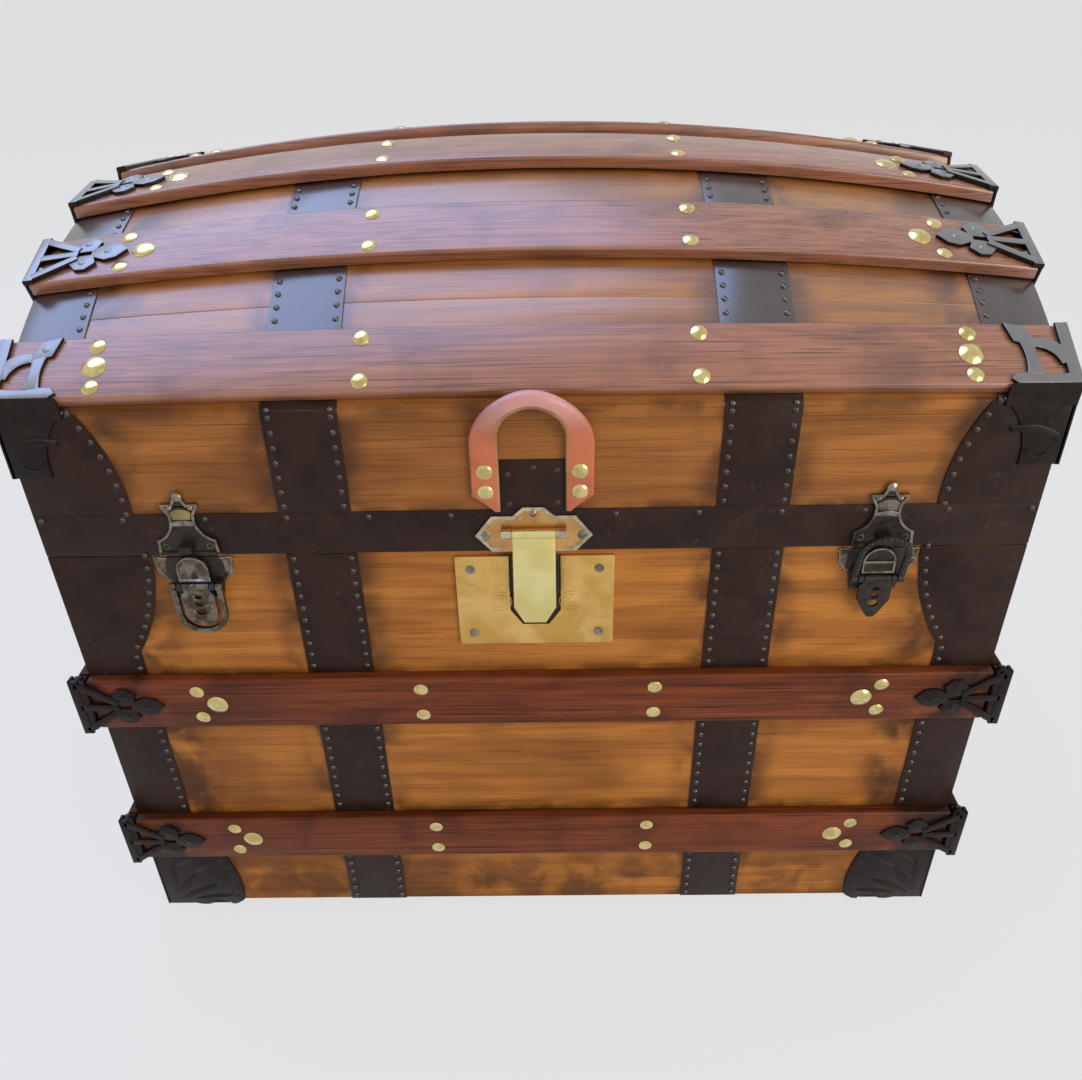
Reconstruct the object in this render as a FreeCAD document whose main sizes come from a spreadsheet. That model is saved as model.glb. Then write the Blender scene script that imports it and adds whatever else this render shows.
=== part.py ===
import FreeCAD, Part
import Sketcher
import math
import os

from FreeCAD import Placement, Rotation, Vector

# Driving dimensions of the trunk, in millimetres, degrees for the angles
SIZES = {
    # Chest and lid boards
    "trunk_length": 756.0,
    "trunk_depth": 549.0,
    "foot_height": 7.0,
    "body_height": 415.0,
    "lid_wall_height": 120.0,
    "end_rise": 94.5,
    "crown_rise": 36.0,
    "wall_thickness": 14.0,
    "bottom_thickness": 12.0,
    "panel_thickness": 10.0,
    "parting_gap": 0.4,
    "seat_gap": 0.15,
    # Slats
    "slat_width": 52.0,
    "slat_thickness": 10.0,
    "slat_arris": 2.5,
    "slat_overhang": 2.0,
    "edge_slat_inset": 30.0,
    "upper_slat_drop": 119.0,
    "lower_slat_rise": 75.5,
    # Sheet-metal bands and bindings
    "sheet_thickness": 1.2,
    "skin_gap": 0.1,
    "band_width": 55.0,
    "band_inset": 213.0,
    "end_binding_width": 49.0,
    "end_binding_drop": 25.0,
    "valance_height": 36.6,
    "corner_strip_width": 49.0,
    "corner_flare_width": 80.0,
    "corner_flare_height": 95.0,
    "lid_corner_top_width": 53.0,
    "lid_corner_foot_width": 75.0,
    "corner_curve": 7.0,
    "foot_cap_top_width": 64.0,
    "foot_cap_foot_width": 77.0,
    "foot_cap_thickness": 2.0,
    "foot_block_width": 60.0,
    "centre_plate_gap": 0.5,
    "centre_plate_height": 42.0,
    # Cast clamps
    "clamp_thickness": 3.0,
    "clamp_gap": 0.3,
    "body_clamp_length": 48.0,
    "body_clamp_shoulder": 15.0,
    "body_clamp_margin": 3.0,
    "body_clamp_leaf_radius": 14.0,
    "edge_clamp_length": 50.0,
    "edge_clamp_drop": 50.0,
    "edge_clamp_lean": 4.0,
    "rib_width": 7.0,
    "rib_height": 4.0,
    "rib_edge_gap": 0.5,
    "rib_pinch": 4.0,
    "rib_length": 55.0,
    "leaf_radius": 7.0,
    "leaf_spread": 5.5,
    "leaf_reach": 9.0,
    "end_plate_drop": 6.0,
    # Nails, tacks and rivets
    "nail_radius": 6.0,
    "large_nail_radius": 8.8,
    "tack_radius": 6.0,
    "rivet_radius": 4.5,
    "nail_dome": 50.0,
    "dome_nail_gap": 1.0,
    "edge_nail_gap": 10.5,
    "dome_pair_reach": 120.0,
    "dome_nail_inset": 9.0,
    "body_nail_gap": 23.0,
    "body_pair_reach": 98.0,
    "body_nail_inset": 12.0,
    "large_nail_shift": 15.0,
    # Lid hinges
    "hinge_width": 60.0,
    "hinge_knuckle_width": 20.0,
    "hinge_leaf_height": 50.0,
    "hinge_leaf_thickness": 2.2,
    "hinge_axis_offset": 6.0,
    "hinge_knuckle_radius": 5.0,
    "hinge_pin_radius": 2.5,
    "pin_clearance": 0.05,
    "knuckle_gap": 0.3,
    "knuckle_relief": 1.2,
    # Hasp and lock
    "hasp_pivot_rise": 19.0,
    "hasp_knuckle_gap": 0.2,
    "hasp_plate_length": 90.0,
    "hasp_plate_thickness": 2.2,
    "hasp_plate_shoulder": 32.0,
    "hasp_plate_brow": 16.0,
    "hasp_plate_tip": 8.0,
    "hasp_knuckle_radius": 3.6,
    "hasp_bar_length": 50.0,
    "hasp_width": 33.0,
    "hasp_length": 74.0,
    "hasp_thickness": 3.0,
    "hasp_corner": 8.0,
    "hasp_corner_rise": 13.0,
    "hasp_pin_radius": 2.0,
    "hasp_rest_angle": 11.0,
    "staple_drop": 65.0,
    "staple_width": 4.0,
    "staple_height": 12.0,
    "staple_depth": 8.2,
    "staple_wall": 1.0,
    "lock_plate_length": 125.0,
    "lock_plate_height": 86.0,
    "lock_plate_thickness": 2.5,
    "lock_plate_drop": 4.0,
    "lock_plate_corner": 1.0,
    "rosette_radius": 11.0,
    "rosette_height": 1.4,
    "rosette_reach": 28.0,
    "rosette_drop": 47.0,
    "lock_rivet_margin": 12.0,
    "lock_case_height": 60.0,
    "lock_case_gap": 0.3,
    "lock_case_wall": 2.0,
    "bolt_length": 29.0,
    "bolt_height": 6.0,
    "bolt_thickness": 4.0,
    "bolt_rest_gap": 5.0,
    "bolt_clearance": 0.5,
    "bolt_end_gap": 2.0,
    "slot_clearance": 2.0,
    "slot_sweep": 4.0,
    # Drawbolt latches
    "latch_corner_gap": 1.5,
    "latch_pivot_drop": 25.0,
    "latch_pivot_offset": 8.0,
    "latch_base_thickness": 2.0,
    "latch_base_width": 61.0,
    "latch_base_foot_width": 36.0,
    "latch_base_drop": 14.0,
    "latch_wing_drop": 14.0,
    "latch_base_margin": 0.8,
    "latch_ear_thickness": 4.0,
    "latch_ear_radius": 3.4,
    "latch_pin_radius": 1.5,
    "lever_knuckle_width": 21.0,
    "lever_knuckle_radius": 3.2,
    "lever_margin": 0.7,
    "lever_length": 37.0,
    "lever_thickness": 2.5,
    "lever_neck_length": 5.6,
    "lever_nose": 14.0,
    "lever_hole_radius": 2.6,
    "lever_hole_pitch": 6.2,
    "lever_first_hole": 3.7,
    "loop_wire_radius": 2.0,
    "loop_corner_radius": 12.0,
    "loop_length": 43.0,
    "loop_side_gap": 1.0,
    "right_loop_angle": 168.0,
    "catch_thickness": 2.5,
    "catch_height": 54.0,
    "catch_width": 47.0,
    "catch_neck_width": 20.0,
    "catch_crown_width": 31.0,
    "catch_foot_rise": 1.2,
    "catch_shoulder_rise": 13.5,
    "catch_neck_rise": 29.7,
    "catch_neck_length": 5.4,
    "catch_crown_rise": 46.5,
    "catch_curve": 3.0,
    "catch_tip_base": 6.0,
    "catch_tip_radius": 3.0,
    "catch_tip_bulge": 1.2,
    "catch_lug_side_gap": 0.5,
    "catch_lug_height": 8.5,
    "catch_lug_reach": 9.3,
    "loop_lug_gap": 0.5,
    # Leather handles
    "handle_half_span": 35.0,
    "handle_leg_width": 21.0,
    "handle_thickness": 5.0,
    "handle_arch_width": 14.0,
    "handle_arch_thickness": 11.0,
    "handle_foot_rise": 0.3,
    "handle_leg_length": 65.0,
    "handle_slat_gap": 10.5,
    "low_tack_rise": 17.0,
    "high_tack_rise": 34.0,
    "end_handle_clearance": 16.0,
    "end_handle_half_span": 80.0,
    "end_handle_bow": 24.0,
    "end_handle_foot": 6.0,
    "end_handle_width": 28.0,
    "end_handle_thickness": 6.0,
    "end_cap_length": 30.0,
    "end_cap_height": 38.0,
    "end_cap_depth": 13.0,
}

# Sections that the bowed slats and the lid handle pass through
SLAT_STATIONS = 7
HANDLE_STATIONS = 25
# Corners of a strap's section, as shares of its half width and half thickness
STRAP_CORNERS = ((-1, -0.6), (-0.7, -1), (0.7, -1), (1, -0.6), (1, 0.6), (0.7, 1), (-0.7, 1), (-1, 0.6))
LEVER_HOLES = 3
# Pieces that the dome's arc is measured in, and the distance that its slopes are measured over
ARC_STEPS = 400
SLOPE_STEP = 0.01
# Depth of a quarter circle over its chord, as a share of the radius
QUARTER_SAG = 1 - math.sqrt(0.5)
DOME_SLATS = (
    "front_edge_slat",
    "front_slope_slat",
    "front_crest_slat",
    "back_crest_slat",
    "back_slope_slat",
    "back_edge_slat",
)
SIDES = {"left": -1, "right": 1}

document = FreeCAD.newDocument("dome_top_trunk")
nodes = {}


class Size:
    """A length that holds its number and the sheet expression that it comes from."""

    def __init__(self, number, text):
        self.number = float(number)
        self.text = text

    def __float__(self):
        return self.number

    def __add__(self, other):
        other = as_size(other)
        return Size(self.number + other.number, f"({self.text} + {other.text})")

    def __sub__(self, other):
        other = as_size(other)
        return Size(self.number - other.number, f"({self.text} - {other.text})")

    def __mul__(self, other):
        other = as_size(other)
        return Size(self.number * other.number, f"({self.text} * {other.text})")

    def __truediv__(self, other):
        other = as_size(other)
        return Size(self.number / other.number, f"({self.text} / {other.text})")

    def __neg__(self):
        return Size(-self.number, f"(-1 * {self.text})")

    def __radd__(self, other):
        return as_size(other) + self

    def __rsub__(self, other):
        return as_size(other) - self

    def __rmul__(self, other):
        return as_size(other) * self


def as_size(value):
    """Any plain number as a Size."""
    if isinstance(value, Size):
        return value
    return Size(value, f"({value})")


def make_sheet():
    """Spreadsheet that holds the driving dimensions."""
    sheet = document.addObject("Spreadsheet::Sheet", "dims")
    for row, (alias, value) in enumerate(SIZES.items(), start=1):
        sheet.set(f"A{row}", alias)
        sheet.set(f"B{row}", str(value))
        sheet.setAlias(f"B{row}", alias)
    document.recompute()
    return sheet


class SheetSizes:
    """The sheet's sizes by name."""

    def __init__(self, sheet):
        for alias in SIZES:
            setattr(self, alias, Size(sheet.get(alias), f"dims.{alias}"))


size = SheetSizes(make_sheet())

# Levels and faces that many pieces share
half_length = size.trunk_length / 2
half_depth = size.trunk_depth / 2
front = -half_depth
parting = size.foot_height + size.body_height
lid_base = parting + size.parting_gap
valance_top = lid_base + size.valance_height
dome_edge = parting + size.lid_wall_height
upper_slat_low = parting - size.upper_slat_drop - size.slat_width
lower_slat_low = size.foot_height + size.lower_slat_rise
band_reach = half_length - size.band_inset
latch_reach = half_length - size.corner_flare_width - size.latch_corner_gap - size.latch_base_width / 2
hinge_reach = (band_reach + size.band_width / 2 + half_length - size.corner_flare_width) / 2
hasp_pivot_offset = (
    size.sheet_thickness + size.hasp_plate_thickness + size.hasp_knuckle_gap + size.hasp_knuckle_radius
)
lock_case_depth = size.staple_depth + size.lock_case_gap + size.lock_case_wall
bolt_start = size.bolt_length + size.staple_width / 2 + size.bolt_rest_gap
lock_case_length = (bolt_start + size.bolt_end_gap + size.lock_case_wall) * 2
ear_reach = size.lever_knuckle_width / 2 + size.knuckle_gap + size.latch_ear_thickness
lever_half = ear_reach + size.lever_margin


def bind(item, **sizes):
    """Bind properties of an object to sheet expressions."""
    for name, value in sizes.items():
        item.setExpression(name, as_size(value).text)


def place(item, x=0, y=0, z=0, turn=None):
    """Bind an object's place, with an optional fixed turn."""
    if turn is not None:
        item.Placement = Placement(Vector(), turn)
    for axis, value in (("x", x), ("y", y), ("z", z)):
        item.setExpression(f"Placement.Base.{axis}", as_size(value).text)
    return item


def node(name, item):
    """Register an object as a sub-part under its label."""
    item.Label = name
    nodes[name] = item
    return item


def box(name, length, width, height, x, y, z):
    """Box from its lowest corner."""
    solid = document.addObject("Part::Box", name)
    bind(solid, Length=length, Width=width, Height=height)
    return place(solid, x, y, z)


ALONG_X = Rotation(Vector(0, 1, 0), 90)
ALONG_Y = Rotation(Vector(1, 0, 0), -90)
UPRIGHT = Rotation()


def cylinder(name, radius, length, x, y, z, turn):
    """Cylinder from the centre of its first end."""
    solid = document.addObject("Part::Cylinder", name)
    bind(solid, Radius=radius, Height=length)
    return place(solid, x, y, z, turn)


def cut(name, base, tool):
    """One solid less another."""
    result = document.addObject("Part::Cut", name)
    result.Base = base
    result.Tool = tool
    return result


def fuse(name, pieces):
    """Several solids joined."""
    result = document.addObject("Part::MultiFuse", name)
    result.Shapes = pieces
    result.Refine = True
    return result


def common(name, base, tool):
    """What two solids share."""
    result = document.addObject("Part::Common", name)
    result.Base = base
    result.Tool = tool
    return result


def mirror(name, source, normal):
    """Mirror image of an object in a plane through the origin."""
    result = document.addObject("Part::Mirroring", name)
    result.Source = source
    result.Normal = normal
    return result


def group(name, pieces):
    """Separate solids kept as one sub-part."""
    result = document.addObject("Part::Compound", name)
    result.Links = pieces
    return result


def four_corners(name, piece):
    """A corner piece and its images at the other three corners."""
    across = mirror(f"{name}_right", piece, Vector(1, 0, 0))
    back = mirror(f"{name}_back_left", piece, Vector(0, 1, 0))
    far = mirror(f"{name}_back_right", across, Vector(0, 1, 0))
    return group(name, [piece, across, back, far])


def free_solid(name, shape):
    """Object whose doubly curved shape is set directly."""
    item = document.addObject("Part::Feature", name)
    item.Shape = shape
    item.Placement = Placement()
    return item


# Outlines in sketches


def pin_point(sketch, edge, end, u, v):
    """Tie an end of a sketch edge to its two distances from the origin."""
    for kind, value, axis in (("DistanceX", u, -2), ("DistanceY", v, -1)):
        value = as_size(value)
        if value.text == "(0)":
            sketch.addConstraint(Sketcher.Constraint("PointOnObject", edge, end, axis))
            continue
        index = sketch.addConstraint(Sketcher.Constraint(kind, -1, 1, edge, end, value.number))
        sketch.setExpression(f"Constraints[{index}]", value.text)


def near_end(sketch, edge, point):
    """Which end of a sketch edge, 1 or 2, lies at a point."""
    first = sketch.getPoint(edge, 1)
    second = sketch.getPoint(edge, 2)
    return 1 if (first - point).Length <= (second - point).Length else 2


def draw_outline(sketch, outline):
    """Closed outline from corners (u, v) or (u, v, bulge), the bulge that of the next side."""
    corners = [tuple(as_size(value) for value in corner) for corner in outline]
    points = [Vector(float(corner[0]), float(corner[1]), 0) for corner in corners]
    edges = []
    for index, corner in enumerate(corners):
        start = points[index]
        end = points[(index + 1) % len(points)]
        if len(corner) == 2:
            edges.append(sketch.addGeometry(Part.LineSegment(start, end)))
            continue
        chord = end - start
        right = Vector(chord.y, -chord.x, 0).normalize()
        middle = (start + end) / 2 + right * float(corner[2])
        edges.append(sketch.addGeometry(Part.Arc(start, middle, end)))
    for index, corner in enumerate(corners):
        edge = edges[index]
        before = edges[index - 1]
        end = near_end(sketch, edge, points[index])
        end_before = near_end(sketch, before, points[index])
        sketch.addConstraint(Sketcher.Constraint("Coincident", before, end_before, edge, end))
        pin_point(sketch, edge, end, corner[0], corner[1])
        if len(corner) == 3:
            follower = corners[(index + 1) % len(corners)]
            du = follower[0] - corner[0]
            dv = follower[1] - corner[1]
            depth = corner[2] if corner[2].number > 0 else -corner[2]
            radius = (du * du + dv * dv) / (depth * 8) + depth / 2
            rule = sketch.addConstraint(Sketcher.Constraint("Radius", edge, radius.number))
            sketch.setExpression(f"Constraints[{rule}]", radius.text)


def draw_hole(sketch, u, v, radius):
    """Round hole in a sketch."""
    centre = Vector(float(as_size(u)), float(as_size(v)), 0)
    edge = sketch.addGeometry(Part.Circle(centre, Vector(0, 0, 1), float(radius)))
    pin_point(sketch, edge, 3, u, v)
    rule = sketch.addConstraint(Sketcher.Constraint("Radius", edge, float(radius)))
    sketch.setExpression(f"Constraints[{rule}]", as_size(radius).text)


def add_pad(body, name, role, outline, thickness, holes=()):
    """Pad of an outline drawn on one of a body's origin planes."""
    sketch = body.newObject("Sketcher::SketchObject", f"{name}_outline")
    plane = next(item for item in body.Origin.OriginFeatures if item.Role == role)
    sketch.AttachmentSupport = (plane, [""])
    sketch.MapMode = "FlatFace"
    draw_outline(sketch, outline)
    for u, v, radius in holes:
        draw_hole(sketch, u, v, radius)
    pad = body.newObject("PartDesign::Pad", f"{name}_pad")
    pad.Profile = sketch
    bind(pad, Length=thickness)
    sketch.Visibility = False
    return pad


def plate(name, role, outline, thickness, x=0, y=0, z=0, holes=()):
    """Flat piece cut from an outline: XZ_Plane grows towards the front, YZ_Plane to the right."""
    body = document.addObject("PartDesign::Body", name)
    add_pad(body, name, role, outline, thickness, holes)
    return place(body, x, y, z)


# Dome geometry


def dome_height(x, y):
    """Height of the dome's outer face above the floor."""
    rise = float(size.end_rise) + float(size.crown_rise) * (1 - (x / float(half_length)) ** 2)
    return float(dome_edge) + rise * (1 - (y / float(half_depth)) ** 2)


def dome_patch(x_span, y_span, lift):
    """Face of the dome over a rectangle, raised by a lift."""
    surface = Part.BezierSurface()
    surface.increase(2, 2)
    pairs = ((0, 0), (0, 1), (1, 1))
    for i, (a, b) in enumerate(pairs, start=1):
        xx = x_span[a] * x_span[b] / float(half_length) ** 2
        rise = float(size.end_rise) + float(size.crown_rise) * (1 - xx)
        for j, (c, d) in enumerate(pairs, start=1):
            yy = y_span[c] * y_span[d] / float(half_depth) ** 2
            x = (x_span[a] + x_span[b]) / 2
            y = (y_span[c] + y_span[d]) / 2
            surface.setPole(i, j, Vector(x, y, float(dome_edge) + rise * (1 - yy) + float(lift)))
    return surface.toShape()


def dome_layer(x_span, y_span, lift, thickness):
    """Layer of even upright thickness whose top is the dome raised by a lift."""
    x_span = [float(value) for value in x_span]
    y_span = [float(value) for value in y_span]
    return dome_patch(x_span, y_span, lift).extrude(Vector(0, 0, -float(thickness)))


class SlatFrame:
    """Place on a dome slat: its seat on the dome and the directions across, out and along."""

    def __init__(self, x, y):
        rise = dome_height(x, y + SLOPE_STEP) - dome_height(x, y - SLOPE_STEP)
        slope = rise / (2 * SLOPE_STEP)
        angle = math.atan(slope)
        self.across = Vector(0, math.cos(angle), math.sin(angle))
        self.out = Vector(0, -math.sin(angle), math.cos(angle))
        lift = float(size.sheet_thickness + size.skin_gap) * math.cos(angle) + float(size.seat_gap)
        self.seat = Vector(x, y, dome_height(x, y)) + self.out * lift

    def at(self, across, out):
        """Point at distances across the slat and out from its seat."""
        return self.seat + self.across * float(across) + self.out * float(out)


def slat_top(x, y, across, out):
    """Point above a dome slat, with the slat's own normal there."""
    frame = SlatFrame(x, y)
    ahead = SlatFrame(x + SLOPE_STEP, y).at(across, out)
    behind = SlatFrame(x - SLOPE_STEP, y).at(across, out)
    along = (ahead - behind).normalize()
    normal = along.cross(frame.across).normalize()
    return frame.at(across, out), normal


def slat_centres():
    """Depth of each dome slat's middle line, evenly spaced along the arc of the dome's end."""
    depth = float(size.trunk_depth)
    ys = [depth * (index / ARC_STEPS - 0.5) for index in range(ARC_STEPS + 1)]
    arc = [0.0]
    for a, b in zip(ys, ys[1:]):
        rise = dome_height(float(half_length), b) - dome_height(float(half_length), a)
        arc.append(arc[-1] + math.hypot(b - a, rise))
    first = float(size.edge_slat_inset)
    pitch = (arc[-1] - 2 * first) / (len(DOME_SLATS) - 1)
    centres = []
    for number in range(len(DOME_SLATS)):
        target = first + pitch * number
        index = max(spot for spot in range(ARC_STEPS) if arc[spot] <= target)
        share = (target - arc[index]) / (arc[index + 1] - arc[index])
        centres.append(ys[index] + share * (ys[index + 1] - ys[index]))
    return centres


centre_lines = dict(zip(DOME_SLATS, slat_centres()))


def polygon(points):
    """Closed wire through points."""
    return Part.makePolygon(list(points) + [points[0]])


def ruled_solid(first, second):
    """Straight-sided solid between two polygons."""
    return Part.makeLoft([polygon(first), polygon(second)], True, True)


def slat_section(x, y):
    """Section of a dome slat, with rounded outer arrises."""
    frame = SlatFrame(x, y)
    half = float(size.slat_width) / 2
    top = float(size.slat_thickness)
    radius = float(size.slat_arris)
    inner = radius * QUARTER_SAG
    low = [frame.at(-half, 0), frame.at(half, 0), frame.at(half, top - radius)]
    high = [frame.at(half - radius, top), frame.at(radius - half, top), frame.at(-half, top - radius)]
    edges = [
        Part.LineSegment(low[0], low[1]),
        Part.LineSegment(low[1], low[2]),
        Part.Arc(low[2], frame.at(half - inner, top - inner), high[0]),
        Part.LineSegment(high[0], high[1]),
        Part.Arc(high[1], frame.at(inner - half, top - inner), high[2]),
        Part.LineSegment(high[2], low[0]),
    ]
    return Part.Wire([edge.toShape() for edge in edges])


def make_boards():
    """Boards of the chest and of the lid's walls, and the dome panel."""
    inner_depth = size.trunk_depth - size.wall_thickness * 2
    inner_length = size.trunk_length - size.wall_thickness * 2
    wall = size.wall_thickness
    foot = size.foot_height
    blank = box("front_blank", size.trunk_length, wall, size.body_height, -half_length, front, foot)
    mortise = box(
        "lock_mortise",
        lock_case_length + size.seat_gap * 2,
        lock_case_depth + size.seat_gap,
        size.lock_case_height + size.seat_gap * 2,
        -lock_case_length / 2 - size.seat_gap,
        front,
        staple_height() - size.lock_case_height / 2 - size.seat_gap,
    )
    node("front_board", cut("front_board", blank, mortise))
    back_y = half_depth - wall
    back = box("back_board", size.trunk_length, wall, size.body_height, -half_length, back_y, foot)
    node("back_board", back)
    for side, sign in SIDES.items():
        x = -half_length if sign < 0 else half_length - wall
        name = f"{side}_end_board"
        node(name, box(name, wall, inner_depth, size.body_height, x, front + wall, foot))
    bottom = box(
        "bottom_board",
        inner_length,
        inner_depth,
        size.bottom_thickness,
        -half_length + wall,
        front + wall,
        foot,
    )
    node("bottom_board", bottom)

    under_depth = float(size.panel_thickness + size.seat_gap)
    reach = float(size.lid_wall_height + size.end_rise + size.crown_rise)
    spans = ((-half_length, half_length), (front, half_depth))
    under = free_solid("under_dome", dome_layer(*spans, -under_depth, reach))
    height = size.lid_wall_height + size.end_rise + size.crown_rise
    walls = {
        "lid_front_board": (size.trunk_length, wall, -half_length, front),
        "lid_back_board": (size.trunk_length, wall, -half_length, back_y),
        "lid_left_end_board": (wall, inner_depth, -half_length, front + wall),
        "lid_right_end_board": (wall, inner_depth, half_length - wall, front + wall),
    }
    for name, (length, width, x, y) in walls.items():
        blank = box(f"{name}_blank", length, width, height, x, y, lid_base)
        node(name, common(name, blank, under))
    panel = dome_layer(*spans, 0, size.panel_thickness)
    node("dome_panel", free_solid("dome_panel", panel))


def slat_profile(outward):
    """Section of a straight slat, its outer arrises rounded, growing along u by its thickness."""
    top = size.slat_width
    far = size.slat_thickness * outward
    near = (size.slat_thickness - size.slat_arris) * outward
    bulge = size.slat_arris * QUARTER_SAG * outward
    return [
        (0, 0),
        (near, 0, bulge),
        (far, size.slat_arris),
        (far, top - size.slat_arris, bulge),
        (near, top),
        (0, top),
    ]


def make_body_slats():
    """Straight slats round the chest, seated on the sheet metal."""
    levels = {"upper": upper_slat_low, "lower": lower_slat_low}
    for level, z in levels.items():
        for face, sign in (("front", -1), ("back", 1)):
            name = f"{face}_{level}_slat"
            y = (half_depth + size.sheet_thickness) * sign
            slat = plate(name, "YZ_Plane", slat_profile(sign), size.trunk_length, -half_length, y, z)
            node(name, slat)
    for side, sign in SIDES.items():
        pieces = []
        for level, z in levels.items():
            x = (half_length + size.sheet_thickness) * sign
            name = f"{side}_{level}_end_slat"
            profile = slat_profile(sign)
            pieces.append(plate(name, "XZ_Plane", profile, size.trunk_depth, x, half_depth, z))
        node(f"{side}_end_slats", group(f"{side}_end_slats", pieces))


def make_dome_slats():
    """Bowed slats over the dome."""
    reach = float(half_length + size.slat_overhang)
    stations = [reach * (2 * index / (SLAT_STATIONS - 1) - 1) for index in range(SLAT_STATIONS)]
    for name, y in centre_lines.items():
        sections = [slat_section(x, y) for x in stations]
        node(name, free_solid(name, Part.makeLoft(sections, True, False)))


def make_bands():
    """Upright bands on chest and lid, and the bands over the dome."""
    sheet = size.sheet_thickness
    width = size.band_width
    body_bands = []
    lid_bands = []
    body_span = size.body_height - size.parting_gap
    lid_span = dome_edge - valance_top
    for face, y in (("front", front - sheet), ("back", half_depth)):
        for side, sign in SIDES.items():
            x = band_reach * sign - width / 2
            low = box(f"{face}_{side}_body_band", width, sheet, body_span, x, y, size.foot_height)
            high = box(f"{face}_{side}_lid_band", width, sheet, lid_span, x, y, valance_top)
            body_bands.append(low)
            lid_bands.append(high)
    node("body_bands", group("body_bands", body_bands))
    node("lid_bands", group("lid_bands", lid_bands))
    strips = []
    ends = []
    for sign in SIDES.values():
        middle = band_reach * sign
        across = (front, half_depth)
        top = sheet + size.skin_gap
        strips.append(dome_layer((middle - width / 2, middle + width / 2), across, top, sheet))
        edge = half_length * sign
        spans = sorted((edge, edge - size.end_binding_width * sign), key=float)
        cover = dome_layer(spans, across, top, sheet)
        outer = sorted((edge, edge + sheet * sign), key=float)
        flange = dome_layer(outer, across, top, top + size.end_binding_drop)
        ends.append(cover.fuse(flange))
    node("dome_bands", free_solid("dome_bands", Part.makeCompound(strips)))
    node("dome_end_bindings", free_solid("dome_end_bindings", Part.makeCompound(ends)))


def corner_angle(name, outline_front, outline_side, thickness):
    """Sheet bent round the front left corner, from outlines measured from that corner."""
    body = document.addObject("PartDesign::Body", name)
    add_pad(body, f"{name}_front", "XZ_Plane", outline_front, thickness)
    side_pad = add_pad(body, f"{name}_side", "YZ_Plane", outline_side, thickness)
    side_pad.Reversed = True
    return place(body, -half_length, front, 0)


def lap(outline, thickness):
    """An outline with its corner edge carried round by the sheet's thickness."""
    return [(corner[0] - thickness, *corner[1:]) if index in (0, len(outline) - 1) else corner
            for index, corner in enumerate(outline)]


def make_bindings():
    """Corner bindings of chest and lid, foot caps, valance and centre plate."""
    sheet = size.sheet_thickness
    cap_top = lower_slat_low
    rim = parting - size.parting_gap
    flare = rim - size.corner_flare_height
    body_outline = [
        (as_size(0), cap_top),
        (size.corner_strip_width, cap_top),
        (size.corner_strip_width, flare, size.corner_curve),
        (size.corner_flare_width, rim),
        (as_size(0), rim),
    ]
    binding = corner_angle("body_corner_binding", lap(body_outline, sheet), body_outline, sheet)
    node("body_corner_bindings", four_corners("body_corner_bindings", binding))

    lid_outline = [
        (as_size(0), valance_top),
        (size.lid_corner_foot_width, valance_top, -size.corner_curve),
        (size.lid_corner_top_width, dome_edge),
        (as_size(0), dome_edge),
    ]
    side_top = dome_edge - size.end_binding_drop
    side_outline = [
        (as_size(0), valance_top),
        (size.lid_corner_foot_width, valance_top, -size.corner_curve),
        (size.lid_corner_top_width, side_top),
        (as_size(0), side_top),
    ]
    binding = corner_angle("lid_corner_binding", lap(lid_outline, sheet), side_outline, sheet)
    node("lid_corner_bindings", four_corners("lid_corner_bindings", binding))

    cap_outline = [
        (as_size(0), as_size(0)),
        (size.foot_cap_foot_width, as_size(0), size.corner_curve),
        (size.foot_cap_top_width, cap_top),
        (as_size(0), cap_top),
    ]
    thick = size.foot_cap_thickness
    body = corner_angle("foot_cap_shell", lap(cap_outline, thick), cap_outline, thick)
    block = box(
        "foot_block",
        size.foot_block_width,
        size.foot_block_width,
        size.foot_height,
        -half_length,
        front,
        0,
    )
    cap = fuse("foot_cap", [body, block])
    node("foot_corner_caps", four_corners("foot_corner_caps", cap))

    outer = box(
        "valance_outer",
        size.trunk_length + sheet * 2,
        size.trunk_depth + sheet * 2,
        size.valance_height,
        -half_length - sheet,
        front - sheet,
        lid_base,
    )
    inner = box(
        "valance_inner",
        size.trunk_length,
        size.trunk_depth,
        size.valance_height,
        -half_length,
        front,
        lid_base,
    )
    windows = [inner]
    window_width = size.hinge_width + size.knuckle_gap * 2
    for side, sign in SIDES.items():
        x = hinge_reach * sign - window_width / 2
        name = f"{side}_hinge_window"
        windows.append(box(name, window_width, sheet * 2, size.valance_height, x, half_depth, lid_base))
    node("lid_valance", cut("lid_valance", outer, fuse("valance_voids", windows)))
    half = size.handle_half_span - size.handle_leg_width / 2 - size.centre_plate_gap
    height = size.centre_plate_height
    centre = box("lid_centre_plate", half * 2, sheet, height, -half, front - sheet, valance_top)
    node("lid_centre_plate", centre)


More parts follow.
